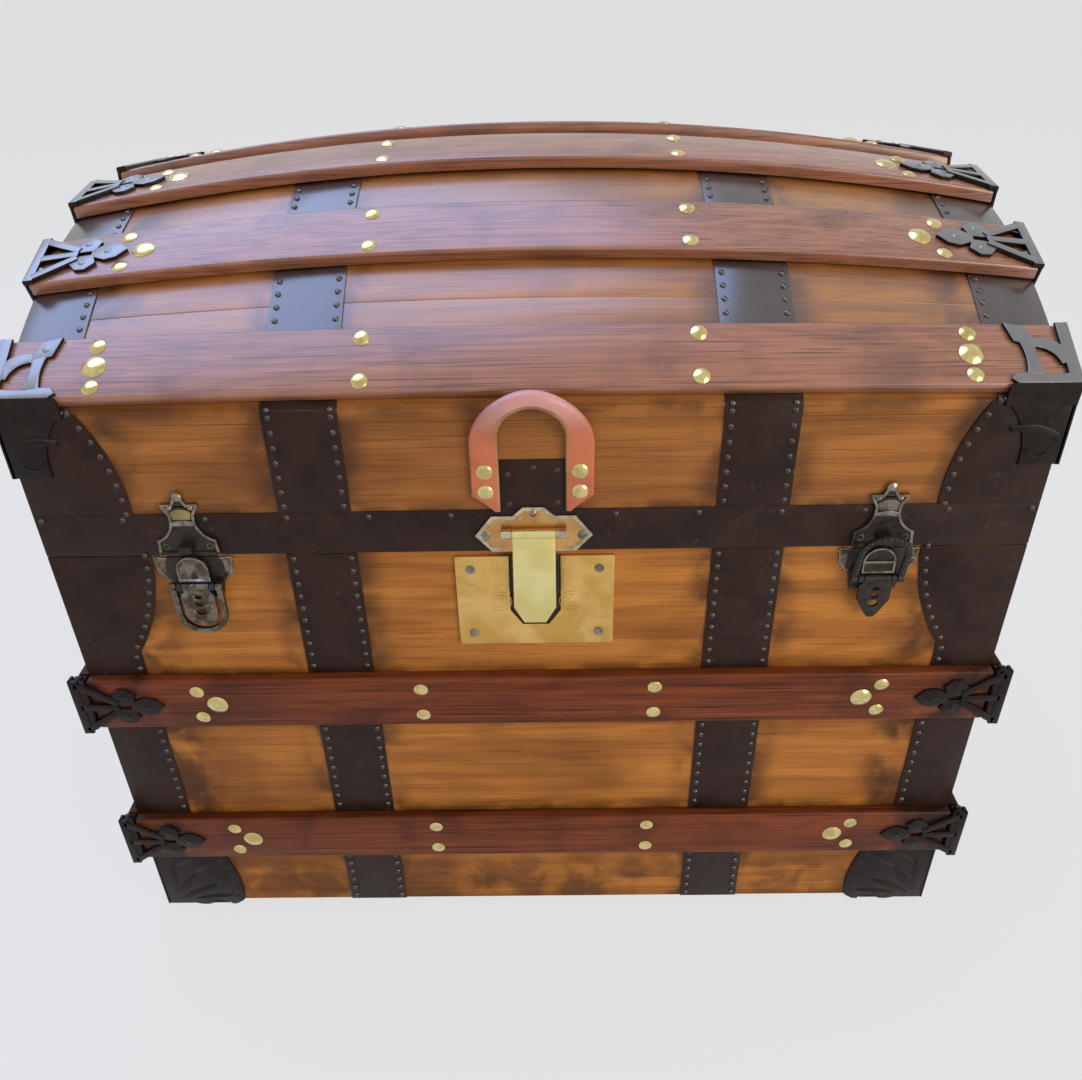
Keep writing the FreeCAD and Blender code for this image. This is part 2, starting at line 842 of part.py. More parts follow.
def make_body_clamps():
    """Cast clamps round the corners of the body slats."""
    pieces = []
    thick = size.clamp_thickness
    half = size.slat_width / 2 + size.body_clamp_margin
    seat = size.sheet_thickness + size.slat_thickness + size.clamp_gap
    outer = seat + thick
    reach = size.body_clamp_length
    leaf = size.body_clamp_leaf_radius
    outline = [
        (-outer, -half),
        (size.body_clamp_shoulder, -half),
        (reach, -leaf),
        (reach, leaf),
        (size.body_clamp_shoulder, half),
        (-outer, half),
    ]
    for level, low in (("upper", upper_slat_low), ("lower", lower_slat_low)):
        middle = low + size.slat_width / 2
        name = f"{level}_slat_clamp"
        face = plate(f"{name}_face", "XZ_Plane", outline, thick, -half_length, front - seat, middle)
        flank = plate(f"{name}_flank", "YZ_Plane", outline, thick, -half_length - outer, front, middle)
        post_width = seat - size.sheet_thickness
        post = box(
            f"{name}_post",
            post_width + size.clamp_gap,
            post_width + size.clamp_gap,
            size.slat_width,
            -half_length - seat - size.clamp_gap,
            front - seat - size.clamp_gap,
            low,
        )
        tip_x = -half_length + reach
        tip = cylinder(f"{name}_face_tip", leaf, thick, tip_x, front - outer, middle, ALONG_Y)
        tip_y = front + reach
        flank_tip = cylinder(f"{name}_flank_tip", leaf, thick, -half_length - outer, tip_y, middle, ALONG_X)
        clamp = fuse(name, [face, flank, post, tip, flank_tip])
        pieces.append(four_corners(f"{name}s", clamp))
    node("body_slat_clamps", group("body_slat_clamps", pieces))


def dome_clamp(y, sign):
    """Three-ribbed casting over one end of a bowed slat, its ribs meeting in a trefoil.

    It is drawn flat, with u inwards along the slat, v across and w out, and is then laid on the slat.
    """
    reach = float(size.rib_length)
    end_x = float(half_length + size.slat_overhang) * sign
    middle_x = end_x - reach / 2 * sign
    seat, normal = slat_top(middle_x, y, 0, size.slat_thickness)
    inward = SlatFrame(middle_x, y).across.cross(normal) * -sign
    across = normal.cross(inward)

    gap = float(size.clamp_gap)
    rise = float(size.rib_height)
    half = float(size.slat_width) / 2
    depth = float(size.slat_thickness + size.end_plate_drop)
    thick = float(size.clamp_thickness)
    end_gap = gap + depth * abs(normal.x)
    corner = Vector(-end_gap - thick, -half, -depth)
    end_plate = Part.makeBox(thick, half * 2, depth + gap + rise, corner)
    pieces = []
    width = float(size.rib_width) / 2
    spread = half - width - float(size.rib_edge_gap)
    for lane in (-1, 0, 1):
        outer = spread * lane
        inner = float(size.rib_pinch) * lane
        corners = [
            Vector(corner.x, outer - width, gap),
            Vector(corner.x, outer + width, gap),
            Vector(reach, inner + width, gap),
            Vector(reach, inner - width, gap),
        ]
        pieces.append(Part.Face(polygon(corners)).extrude(Vector(0, 0, rise)))
    radius = float(size.leaf_radius)
    lobe = float(size.leaf_spread)
    for v, u in ((-lobe, 0.0), (lobe, 0.0), (0.0, float(size.leaf_reach))):
        pieces.append(Part.makeCylinder(radius, rise, Vector(reach + radius / 2 + u, v, gap)))
    casting = end_plate.multiFuse(pieces).removeSplitter()
    casting.Placement = Placement(seat - inward * (reach / 2), Rotation(inward, across, normal, "ZXY"))
    return casting


def edge_clamp_line(x):
    """Inner line of the cap over the front edge slat: up the lid front and over the slat's face."""
    y = centre_lines["front_edge_slat"]
    frame = SlatFrame(x, y)
    gap = size.clamp_gap
    half = size.slat_width / 2
    top = size.slat_thickness + gap
    face = float(front - size.sheet_thickness)
    low = frame.at(-half - gap, top)
    return [
        Vector(x, face, float(dome_edge - size.edge_clamp_drop)),
        Vector(x, face, low.z - float(size.slat_thickness)),
        Vector(x, min(low.y, face + float(size.edge_clamp_lean)), low.z),
        frame.at(half, top),
    ]


def offset_line(points, distance):
    """Open line in a cross-section moved outwards by a distance, with mitred corners."""
    normals = []
    for a, b in zip(points, points[1:]):
        run = (b - a).normalize()
        normals.append(Vector(0, -run.z, run.y))
    moved = []
    for index, point in enumerate(points):
        before = normals[max(index - 1, 0)]
        after = normals[min(index, len(normals) - 1)]
        bisector = (before + after).normalize()
        moved.append(point + bisector * (distance / bisector.dot(before)))
    return moved


def edge_clamp_section(x):
    """Section of the cap over the front edge slat."""
    line = edge_clamp_line(x)
    return line + offset_line(line, float(size.clamp_thickness))[::-1]


def make_lid_clamps():
    """Cast clamps on the ends of all the dome slats."""
    bowed = [name for name in DOME_SLATS if "edge" not in name]
    castings = [dome_clamp(centre_lines[name], sign) for name in bowed for sign in SIDES.values()]
    node("dome_slat_clamps", free_solid("dome_slat_clamps", Part.makeCompound(castings)))

    inner_x = -float(half_length + size.slat_overhang + size.clamp_gap)
    outer_x = inner_x - float(size.clamp_thickness)
    far_x = -float(half_length + size.slat_overhang - size.edge_clamp_length)
    cap = ruled_solid(edge_clamp_section(outer_x), edge_clamp_section(far_x))
    frame = SlatFrame(inner_x, centre_lines["front_edge_slat"])
    half = size.slat_width / 2
    rim = offset_line(edge_clamp_line(inner_x), float(size.clamp_thickness) / 2)
    cheek = rim + [frame.at(half, 0), frame.at(-half, 0)]
    end_plate = Part.Face(polygon(cheek)).extrude(Vector(outer_x - inner_x, 0, 0))
    first = cap.fuse(end_plate).removeSplitter()
    images = [first, first.mirror(Vector(), Vector(1, 0, 0))]
    images += [shape.mirror(Vector(), Vector(0, 1, 0)) for shape in images]
    node("edge_slat_clamps", free_solid("edge_slat_clamps", Part.makeCompound(images)))


def nail_head(radius, point, direction):
    """Domed head of a nail, flat side on a surface."""
    dome = math.radians(float(size.nail_dome))
    ball = float(radius) / math.cos(dome)
    depth = ball * math.sin(dome)
    centre = point - direction * depth
    return Part.makeSphere(ball, centre, direction, float(size.nail_dome), 90, 360)


def nail_spots(cluster, pair, offset, shift):
    """Radius, distance from the middle and distance across of the five nails in one half of a slat."""
    return [
        (size.nail_radius, float(cluster), float(offset)),
        (size.large_nail_radius, float(cluster - shift), 0.0),
        (size.nail_radius, float(cluster), -float(offset)),
        (size.nail_radius, float(pair), float(offset)),
        (size.nail_radius, float(pair), -float(offset)),
    ]


def make_nails():
    """Brass nails in the slats: clusters of three at the ends, pairs beside the bands."""
    heads = []
    top = size.slat_thickness + size.seat_gap
    slat_end = half_length + size.slat_overhang - size.large_nail_radius
    trefoil = size.rib_length + size.leaf_radius / 2 + size.leaf_reach + size.leaf_radius
    offset = size.slat_width / 2 - size.dome_nail_inset
    for name, y in centre_lines.items():
        shift = size.large_nail_shift
        cluster = slat_end - trefoil - size.dome_nail_gap + shift
        if "edge" in name:
            shift = 0
            cluster = slat_end - size.edge_clamp_length - size.edge_nail_gap
        spots = nail_spots(cluster, size.dome_pair_reach, offset, shift)
        for sign in SIDES.values():
            for radius, reach, across in spots:
                spot, normal = slat_top(reach * sign, y, across, top)
                heads.append(nail_head(radius, spot, normal))
    node("dome_slat_nails", free_solid("dome_slat_nails", Part.makeCompound(heads)))

    heads = []
    clamp_reach = size.body_clamp_length + size.body_clamp_leaf_radius
    cluster = half_length - clamp_reach - size.body_nail_gap - size.nail_radius
    offset = size.slat_width / 2 - size.body_nail_inset
    spots = nail_spots(cluster, size.body_pair_reach, offset, size.large_nail_shift)
    for low in (upper_slat_low, lower_slat_low):
        middle = float(low + size.slat_width / 2)
        for face in (-1, 1):
            y = float(half_depth + size.sheet_thickness + size.slat_thickness) * face
            for sign in SIDES.values():
                for radius, reach, up in spots:
                    spot = Vector(reach * sign, y, middle + up)
                    heads.append(nail_head(radius, spot, Vector(0, face, 0)))
    node("body_slat_nails", free_solid("body_slat_nails", Part.makeCompound(heads)))


def hinge_rod(name, radius, left):
    """Round bar along a lid hinge's axis, over the hinge's width."""
    axis_y = half_depth + size.hinge_axis_offset
    return cylinder(name, radius, size.hinge_width, left, axis_y, parting, ALONG_X)


def make_hinges():
    """Two stop hinges on the back, each with a body leaf, a lid leaf and a pin."""
    radius = size.hinge_knuckle_radius
    thick = size.hinge_leaf_thickness
    relief = radius + size.knuckle_relief
    axis_y = half_depth + size.hinge_axis_offset
    bore_radius = size.hinge_pin_radius + size.pin_clearance
    centre_width = size.hinge_knuckle_width
    outer_width = (size.hinge_width - centre_width) / 2 - size.knuckle_gap
    leaf_height = size.hinge_leaf_height - relief
    body_leaves = []
    lid_leaves = []
    pins = []
    for side, sign in SIDES.items():
        middle = hinge_reach * sign
        left = middle - size.hinge_width / 2
        right = middle + size.hinge_width / 2 - outer_width
        low = parting - size.hinge_leaf_height
        leaf = box(f"{side}_body_leaf_plate", size.hinge_width, thick, leaf_height, left, half_depth, low)
        parts = [leaf]
        for end, x in (("left", left), ("right", right)):
            name = f"{side}_body_knuckle_{end}"
            parts.append(box(f"{name}_tab", outer_width, thick, relief, x, half_depth, parting - relief))
            parts.append(cylinder(name, radius, outer_width, x, axis_y, parting, ALONG_X))
        bore = hinge_rod(f"{side}_body_leaf_bore", bore_radius, left)
        body_leaves.append(cut(f"{side}_body_leaf", fuse(f"{side}_body_leaf_blank", parts), bore))

        x = middle - centre_width / 2
        low = parting + relief
        upper = box(f"{side}_lid_leaf_plate", size.hinge_width, thick, leaf_height, left, half_depth, low)
        tab = box(f"{side}_lid_leaf_tab", centre_width, thick, relief, x, half_depth, parting)
        knuckle = cylinder(f"{side}_lid_knuckle", radius, centre_width, x, axis_y, parting, ALONG_X)
        bore = hinge_rod(f"{side}_lid_leaf_bore", bore_radius, left)
        blank = fuse(f"{side}_lid_leaf_blank", [upper, tab, knuckle])
        lid_leaves.append(cut(f"{side}_lid_leaf", blank, bore))
        pins.append(hinge_rod(f"{side}_hinge_pin", size.hinge_pin_radius, left))
    node("hinge_body_leaves", group("hinge_body_leaves", body_leaves))
    node("hinge_lid_leaves", group("hinge_lid_leaves", lid_leaves))
    node("hinge_pins", group("hinge_pins", pins))


def hasp_pivot():
    """Depth and height of the hasp's pin."""
    return front - hasp_pivot_offset, parting + size.hasp_pivot_rise


def staple_height():
    """Height of the hasp's staple when the hasp is shut."""
    return hasp_pivot()[1] - size.staple_drop


def make_hasp():
    """Hasp plate on the valance, hasp with its staple, and their pin."""
    pivot_y, pivot_z = hasp_pivot()
    radius = size.hasp_knuckle_radius
    half = size.hasp_plate_length / 2
    shoulder = size.hasp_plate_shoulder
    sheet = size.sheet_thickness
    thick = size.hasp_plate_thickness
    low = lid_base + size.parting_gap
    waist = pivot_z - radius
    brow = valance_top - size.parting_gap
    outline = [
        (-shoulder, low),
        (shoulder, low),
        (half, waist),
        (shoulder, brow - radius),
        (size.hasp_plate_brow, brow - radius),
        (size.hasp_plate_tip, brow + radius),
        (-size.hasp_plate_tip, brow + radius),
        (-size.hasp_plate_brow, brow - radius),
        (-shoulder, brow - radius),
        (-half, waist),
    ]
    pieces = [plate("hasp_plate_sheet", "XZ_Plane", outline, thick, 0, front - sheet, 0)]
    side_width = (size.hasp_bar_length - size.hasp_width) / 2 - size.knuckle_gap
    lefts = {"left": -size.hasp_bar_length / 2, "right": size.hasp_bar_length / 2 - side_width}
    for side, x in lefts.items():
        tab_depth = hasp_pivot_offset - sheet - thick
        pieces.append(box(f"{side}_hasp_tab", side_width, tab_depth, radius * 2, x, pivot_y, waist))
        pieces.append(cylinder(f"{side}_hasp_knuckle", radius, side_width, x, pivot_y, pivot_z, ALONG_X))
    bore_radius = size.hasp_pin_radius + size.pin_clearance
    start = -size.hasp_bar_length / 2
    bore = cylinder("hasp_plate_bore", bore_radius, size.hasp_bar_length, start, pivot_y, pivot_z, ALONG_X)
    node("hasp_plate", cut("hasp_plate", fuse("hasp_plate_blank", pieces), bore))
    pin = cylinder("hasp_pin", size.hasp_pin_radius, size.hasp_bar_length, start, pivot_y, pivot_z, ALONG_X)
    node("hasp_pin", pin)

    wide = size.hasp_width / 2
    corner = size.hasp_corner
    rise = size.hasp_corner_rise
    end = -size.hasp_length
    strap_outline = [
        (-wide, as_size(0)),
        (-wide, end + rise),
        (-wide + corner, end),
        (wide - corner, end),
        (wide, end + rise),
        (wide, as_size(0)),
    ]
    back = size.hasp_thickness / 2
    strap = plate("hasp_strap", "XZ_Plane", strap_outline, size.hasp_thickness, 0, back, 0)
    knuckle = cylinder("hasp_knuckle", radius, size.hasp_width, -wide, 0, 0, ALONG_X)
    reach = hasp_pivot_offset + size.staple_depth
    staple = box(
        "staple",
        size.staple_width,
        reach - back,
        size.staple_height,
        -size.staple_width / 2,
        back,
        -size.staple_drop - size.staple_height / 2,
    )
    eye_depth = size.bolt_thickness + size.bolt_clearance * 2
    eye_height = size.bolt_height + size.bolt_clearance * 2
    eye = box(
        "staple_eye",
        size.staple_width,
        eye_depth,
        eye_height,
        -size.staple_width / 2,
        reach - size.staple_wall - eye_depth,
        -size.staple_drop - eye_height / 2,
    )
    bore = cylinder("hasp_bore", bore_radius, size.hasp_width, -wide, 0, 0, ALONG_X)
    blank = fuse("hasp_blank", [strap, knuckle, staple])
    hasp = cut("hasp", blank, fuse("hasp_voids", [eye, bore]))
    swing(hasp, 0, pivot_y, pivot_z, size.hasp_rest_angle)
    node("hasp", hasp)


def swing(item, x, y, z, angle):
    """Hang a piece built about its pivot in its place, swung out from the front by an angle."""
    item.Placement = Placement(Vector(), Rotation(Vector(1, 0, 0), -float(angle)))
    place(item, x, y, z)
    item.setExpression("Placement.Rotation.Angle", (-angle).text)


def make_lock():
    """Lock plate, its rivets, and the case with its sliding bolt let into the front board."""
    wide = size.lock_plate_length / 2
    top = parting - size.lock_plate_drop
    low = top - size.lock_plate_height
    corner = size.lock_plate_corner
    outline = [
        (-wide + corner, low),
        (wide - corner, low),
        (wide, low + corner),
        (wide, top - corner),
        (wide - corner, top),
        (-wide + corner, top),
        (-wide, top - corner),
        (-wide, low + corner),
    ]
    sheet = plate("lock_plate_sheet", "XZ_Plane", outline, size.lock_plate_thickness, 0, front, 0)
    bosses = [sheet]
    boss_y = front - size.lock_plate_thickness - size.rosette_height
    for side, sign in SIDES.items():
        x = size.rosette_reach * sign
        z = parting - size.rosette_drop
        bosses.append(
            cylinder(f"{side}_rosette", size.rosette_radius, size.rosette_height, x, boss_y, z, ALONG_Y)
        )
    centre = staple_height()
    slot_width = size.staple_width + size.slot_clearance * 2
    slot_low = centre - size.staple_height / 2 - size.slot_sweep
    slot_height = size.staple_height + size.slot_sweep * 2
    slot = box(
        "staple_slot",
        slot_width,
        size.lock_plate_thickness,
        slot_height,
        -slot_width / 2,
        front - size.lock_plate_thickness,
        slot_low,
    )
    node("lock_plate", cut("lock_plate", fuse("lock_plate_blank", bosses), slot))

    wall = size.lock_case_wall
    case_low = centre - size.lock_case_height / 2
    blank = box(
        "lock_case_blank",
        lock_case_length,
        lock_case_depth,
        size.lock_case_height,
        -lock_case_length / 2,
        front,
        case_low,
    )
    hollow = box(
        "lock_case_hollow",
        lock_case_length - wall * 2,
        lock_case_depth - wall,
        size.lock_case_height - wall * 2,
        -lock_case_length / 2 + wall,
        front,
        case_low + wall,
    )
    bolt_y = front + size.staple_depth - size.staple_wall - size.bolt_clearance - size.bolt_thickness
    bolt_x = -bolt_start
    bolt_low = centre - size.bolt_height / 2
    rail = box(
        "bolt_rail",
        size.bolt_length,
        front + lock_case_depth - wall - bolt_y,
        size.bolt_height,
        bolt_x,
        bolt_y,
        bolt_low - size.seat_gap - size.bolt_height,
    )
    case = fuse("lock_case", [cut("lock_case_tray", blank, hollow), rail])
    node("lock_case", case)
    bolt = box(
        "lock_bolt",
        size.bolt_length,
        size.bolt_thickness,
        size.bolt_height,
        bolt_x,
        bolt_y,
        bolt_low,
    )
    node("lock_bolt", bolt)

    rivets = []
    face = float(front - size.lock_plate_thickness)
    margin = size.lock_rivet_margin
    for x in (margin - wide, wide - margin):
        for z in (low + margin, top - margin):
            spot = Vector(float(x), face, float(z))
            rivets.append(nail_head(size.rivet_radius, spot, Vector(0, -1, 0)))
    node("lock_rivets", free_solid("lock_rivets", Part.makeCompound(rivets)))


def latch_pivot():
    """Depth and height of the latch pins."""
    return front - size.latch_pivot_offset, parting - size.latch_pivot_drop


def make_latches():
    """Two drawbolt latches: base, pin, lever and loop on the chest, catch on the lid."""
    pins = []
    catches = []
    pivot_y, pivot_z = latch_pivot()
    for side, sign in SIDES.items():
        x = latch_reach * sign
        node(f"{side}_latch_base", make_latch_base(f"{side}_latch_base", x))
        half = loop_reach() + size.loop_wire_radius
        name = f"{side}_latch_pin"
        pins.append(cylinder(name, size.latch_pin_radius, half * 2, x - half, pivot_y, pivot_z, ALONG_X))
        lever = make_lever(f"{side}_latch_lever")
        swing(lever, x, pivot_y, pivot_z, as_size(0))
        node(f"{side}_latch_lever", lever)
        loop = make_loop(f"{side}_latch_loop")
        angle = as_size(0) if side == "left" else size.right_loop_angle
        swing(loop, x, pivot_y, pivot_z, angle)
        node(f"{side}_latch_loop", loop)
        catches.append(make_catch(f"{side}_latch_catch", x))
    node("latch_pins", group("latch_pins", pins))
    node("latch_catches", group("latch_catches", catches))


def loop_reach():
    """Half distance between the middles of a loop's legs, clear of the lever and the ears."""
    return lever_half + size.loop_side_gap + size.loop_wire_radius


def make_latch_base(name, x):
    """Winged base plate with two ears for the latch pin."""
    pivot_y, pivot_z = latch_pivot()
    wide = size.latch_base_width / 2
    narrow = size.latch_base_foot_width / 2
    top = size.latch_pivot_drop - size.latch_base_margin
    outline = [
        (-narrow, -size.latch_base_drop),
        (narrow, -size.latch_base_drop),
        (wide, top - size.latch_wing_drop),
        (wide, top),
        (-wide, top),
        (-wide, top - size.latch_wing_drop),
    ]
    thick = size.latch_base_thickness
    pieces = [plate(f"{name}_plate", "XZ_Plane", outline, thick, x, front, pivot_z)]
    radius = size.latch_ear_radius
    inner = size.lever_knuckle_width / 2 + size.knuckle_gap
    depth = size.latch_pivot_offset - thick
    for ear, left in (("left", -inner - size.latch_ear_thickness), ("right", inner)):
        ear_x = x + left
        ear_z = pivot_z - radius
        ear_width = size.latch_ear_thickness
        pieces.append(box(f"{name}_{ear}_ear", ear_width, depth, radius * 2, ear_x, pivot_y, ear_z))
        pieces.append(cylinder(f"{name}_{ear}_eye", radius, ear_width, ear_x, pivot_y, pivot_z, ALONG_X))
    bore_radius = size.latch_pin_radius + size.pin_clearance
    bore = cylinder(f"{name}_bore", bore_radius, wide * 2, x - wide, pivot_y, pivot_z, ALONG_X)
    return cut(name, fuse(f"{name}_blank", pieces), bore)


def make_lever(name):
    """Lever plate with three holes, hung from its knuckle."""
    half = size.lever_knuckle_width / 2
    wide = lever_half
    neck = -size.lever_neck_length
    end = -size.lever_length
    shoulder = end + size.lever_nose
    outline = [
        (-half, as_size(0)),
        (-half, neck),
        (-wide, neck),
        (-wide, shoulder, size.lever_nose),
        (wide, shoulder),
        (wide, neck),
        (half, neck),
        (half, as_size(0)),
    ]
    first = neck - size.lever_first_hole
    pitch = size.lever_hole_pitch
    holes = [(0, first - pitch * step, size.lever_hole_radius) for step in range(LEVER_HOLES)]
    thick = size.lever_thickness
    blade = plate(f"{name}_blade", "XZ_Plane", outline, thick, 0, thick / 2, 0, holes)
    knuckle = cylinder(f"{name}_knuckle", size.lever_knuckle_radius, half * 2, -half, 0, 0, ALONG_X)
    bore_radius = size.latch_pin_radius + size.pin_clearance
    bore = cylinder(f"{name}_bore", bore_radius, half * 2, -half, 0, 0, ALONG_X)
    return cut(name, fuse(f"{name}_blank", [blade, knuckle]), bore)


def loop_path():
    """Middle line of a loop's wire, down one leg, round both bends and up the other."""
    reach = float(loop_reach())
    bend = float(size.loop_corner_radius)
    low = -float(size.loop_length)
    sag = bend * QUARTER_SAG
    inner = reach - bend
    legs = {sign: (Vector(reach * sign, 0, 0), Vector(reach * sign, 0, low + bend)) for sign in (-1, 1)}
    middles = {sign: Vector((reach - sag) * sign, 0, low + sag) for sign in (-1, 1)}
    ends = {sign: Vector(inner * sign, 0, low) for sign in (-1, 1)}
    edges = [
        Part.LineSegment(legs[-1][0], legs[-1][1]),
        Part.Arc(legs[-1][1], middles[-1], ends[-1]),
        Part.LineSegment(ends[-1], ends[1]),
        Part.Arc(ends[1], middles[1], legs[1][1]),
        Part.LineSegment(legs[1][1], legs[1][0]),
    ]
    return Part.Wire([edge.toShape() for edge in edges])


def make_loop(name):
    """Wire loop hung from the latch pin by an eye on each leg."""
    reach = float(loop_reach())
    wire = float(size.loop_wire_radius)
    along = Vector(1, 0, 0)
    section = Part.Wire(Part.makeCircle(wire, Vector(-reach, 0, 0), Vector(0, 0, 1)))
    loop = loop_path().makePipeShell([section], True, False)
    eyes = [
        Part.makeCylinder(float(size.latch_ear_radius), wire * 2, Vector(reach * sign - wire, 0, 0), along)
        for sign in SIDES.values()
    ]
    width = (reach + wire) * 2
    bore_radius = float(size.latch_pin_radius + size.pin_clearance)
    bore = Part.makeCylinder(bore_radius, width, Vector(-width / 2, 0, 0), along)
    return free_solid(name, loop.multiFuse(eyes).cut(bore))


def make_catch(name, x):
    """Catch plate with a crowned finial and the lug that the loop hooks over."""
    wide = size.catch_width / 2
    neck = size.catch_neck_width / 2
    crown = size.catch_crown_width / 2
    shoulder = size.catch_shoulder_rise
    neck_low = size.catch_neck_rise
    neck_high = neck_low + size.catch_neck_length
    crown_rise = size.catch_crown_rise
    tip = size.catch_tip_radius
    outline = [
        (-wide, as_size(0)),
        (wide, as_size(0)),
        (wide, shoulder, -size.catch_curve),
        (neck, neck_low),
        (neck, neck_high),
        (crown, crown_rise),
        (size.catch_tip_base, crown_rise),
        (tip, size.catch_height, size.catch_tip_bulge),
        (-tip, size.catch_height),
        (-size.catch_tip_base, crown_rise),
        (-crown, crown_rise),
        (-neck, neck_high),
        (-neck, neck_low, -size.catch_curve),
        (-wide, shoulder),
    ]
    base_z = lid_base + size.catch_foot_rise
    face = front - size.sheet_thickness
    blade = plate(f"{name}_plate", "XZ_Plane", outline, size.catch_thickness, x, face, base_z)
    lug_top = latch_pivot()[1] + size.loop_length - size.loop_wire_radius - size.loop_lug_gap
    half = loop_reach() - size.loop_corner_radius - size.catch_lug_side_gap
    depth = size.catch_lug_reach
    outer = face - size.catch_thickness - depth
    lug_low = lug_top - size.catch_lug_height
    lug = box(f"{name}_lug", half * 2, depth, size.catch_lug_height, x - half, outer, lug_low)
    return fuse(name, [blade, lug])


def handle_stand_off():
    """Distance from the lid's front to the back of the handle's arch, which clears the edge slat."""
    corner = SlatFrame(0, centre_lines["front_edge_slat"]).at(-size.slat_width / 2, size.slat_thickness)
    return float(front) - corner.y + float(size.handle_slat_gap)


def handle_section(angle):
    """Section of the lid handle at an angle round its horseshoe, 0 at the right foot, 180 at the left."""
    span = float(size.handle_half_span)
    foot = float(valance_top + size.handle_foot_rise)
    leg = float(size.handle_leg_length)
    arch = span * math.pi
    travel = (2 * leg + arch) * angle / 180
    if travel < leg:
        spot = (span, foot + travel)
        across = (1.0, 0.0)
    elif travel > leg + arch:
        spot = (-span, foot + 2 * leg + arch - travel)
        across = (-1.0, 0.0)
    else:
        turn = (travel - leg) / span
        across = (math.cos(turn), math.sin(turn))
        spot = (span * across[0], foot + leg + span * across[1])
    climb = max(0.0, min(1.0, (spot[1] - foot - leg) / span))
    ease = climb * climb * (3 - 2 * climb)
    width = float(size.handle_leg_width) * (1 - ease) + float(size.handle_arch_width) * ease
    thick = float(size.handle_thickness) * (1 - ease) + float(size.handle_arch_thickness) * ease
    lift = float(size.seat_gap) * (1 - ease) + handle_stand_off() * ease + thick / 2
    points = []
    for u, v in STRAP_CORNERS:
        side = u * width / 2
        y = float(front) - lift - v * thick / 2
        points.append(Vector(spot[0] + across[0] * side, y, spot[1] + across[1] * side))
    return polygon(points)


def make_handles():
    """Leather lid handle with its tacks, and the strap handles on both ends with their caps."""
    sections = [handle_section(180 * index / (HANDLE_STATIONS - 1)) for index in range(HANDLE_STATIONS)]
    node("lid_handle", free_solid("lid_handle", Part.makeLoft(sections, True, False)))
    tacks = []
    face = float(front - size.seat_gap * 2 - size.handle_thickness)
    foot = valance_top + size.handle_foot_rise
    for sign in SIDES.values():
        for rise in (size.low_tack_rise, size.high_tack_rise):
            spot = Vector(float(size.handle_half_span) * sign, face, float(foot + rise))
            tacks.append(nail_head(size.tack_radius, spot, Vector(0, -1, 0)))
    node("lid_handle_tacks", free_solid("lid_handle_tacks", Part.makeCompound(tacks)))

    caps = []
    half = size.end_handle_half_span
    bow = size.end_handle_bow
    radius = (half * half + bow * bow) / (bow * 2)
    middle = upper_slat_low + size.slat_width + size.end_handle_clearance + size.end_cap_height / 2
    thick = size.end_handle_thickness
    width = size.end_handle_width
    for side, sign in SIDES.items():
        hub = (half_length + size.end_handle_foot + bow - radius) * sign
        name = f"{side}_end_handle"
        ring = []
        for layer, edge in (("outer", radius + thick / 2), ("inner", radius - thick / 2)):
            ring.append(cylinder(f"{name}_{layer}", edge, width, hub, 0, middle - width / 2, UPRIGHT))
        hoop = cut(f"{name}_hoop", *ring)
        reach = bow + thick
        start = half_length + size.end_handle_foot - thick / 2
        x = start if sign > 0 else -start - reach
        window = box(f"{name}_window", reach, half * 2, width, x, -half, middle - width / 2)
        node(name, common(name, hoop, window))
        depth = size.end_cap_depth
        cap_x = half_length if sign > 0 else -half_length - depth
        cap_z = middle - size.end_cap_height / 2
        near = half + size.seat_gap
        for end, y in (("front", -near - size.end_cap_length), ("back", near)):
            cap_name = f"{name}_{end}_cap"
            caps.append(box(cap_name, depth, size.end_cap_length, size.end_cap_height, cap_x, y, cap_z))
    node("end_handle_caps", group("end_handle_caps", caps))


def check_and_write():
    """Check every object, then write each sub-part to its own file."""
    document.recompute()
    for item in document.Objects:
        faults = [state for state in item.State if state in ("Invalid", "Error")]
        if faults:
            raise RuntimeError(f"{item.Label} failed: {item.State}")
    for name, item in nodes.items():
        shape = item.Shape
        if shape.isNull() or not shape.isValid() or not shape.Solids:
            raise RuntimeError(f"{name} has no valid solid")
    os.makedirs("parts", exist_ok=True)
    for name, item in nodes.items():
        item.Shape.exportStep(os.path.join("parts", f"{name}.step"))
        print(name, len(item.Shape.Solids), round(item.Shape.Volume / 1000, 2), "cm3")
    print(len(nodes), "sub-parts")


make_boards()
make_body_slats()
make_dome_slats()
make_bands()
make_bindings()
make_body_clamps()
make_lid_clamps()
make_nails()
make_hinges()
make_hasp()
make_lock()
make_latches()
make_handles()
check_and_write()
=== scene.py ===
"""Looks of the dome top trunk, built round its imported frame.

Pieces are shaped in millimetres and scaled to metres when they are released on to the trunk.
"""

import logging
import math
from dataclasses import dataclass, field, replace
from enum import Enum
from functools import cached_property
from typing import Callable, Iterable, Sequence

import bmesh
import bpy
from mathutils import Matrix, Vector


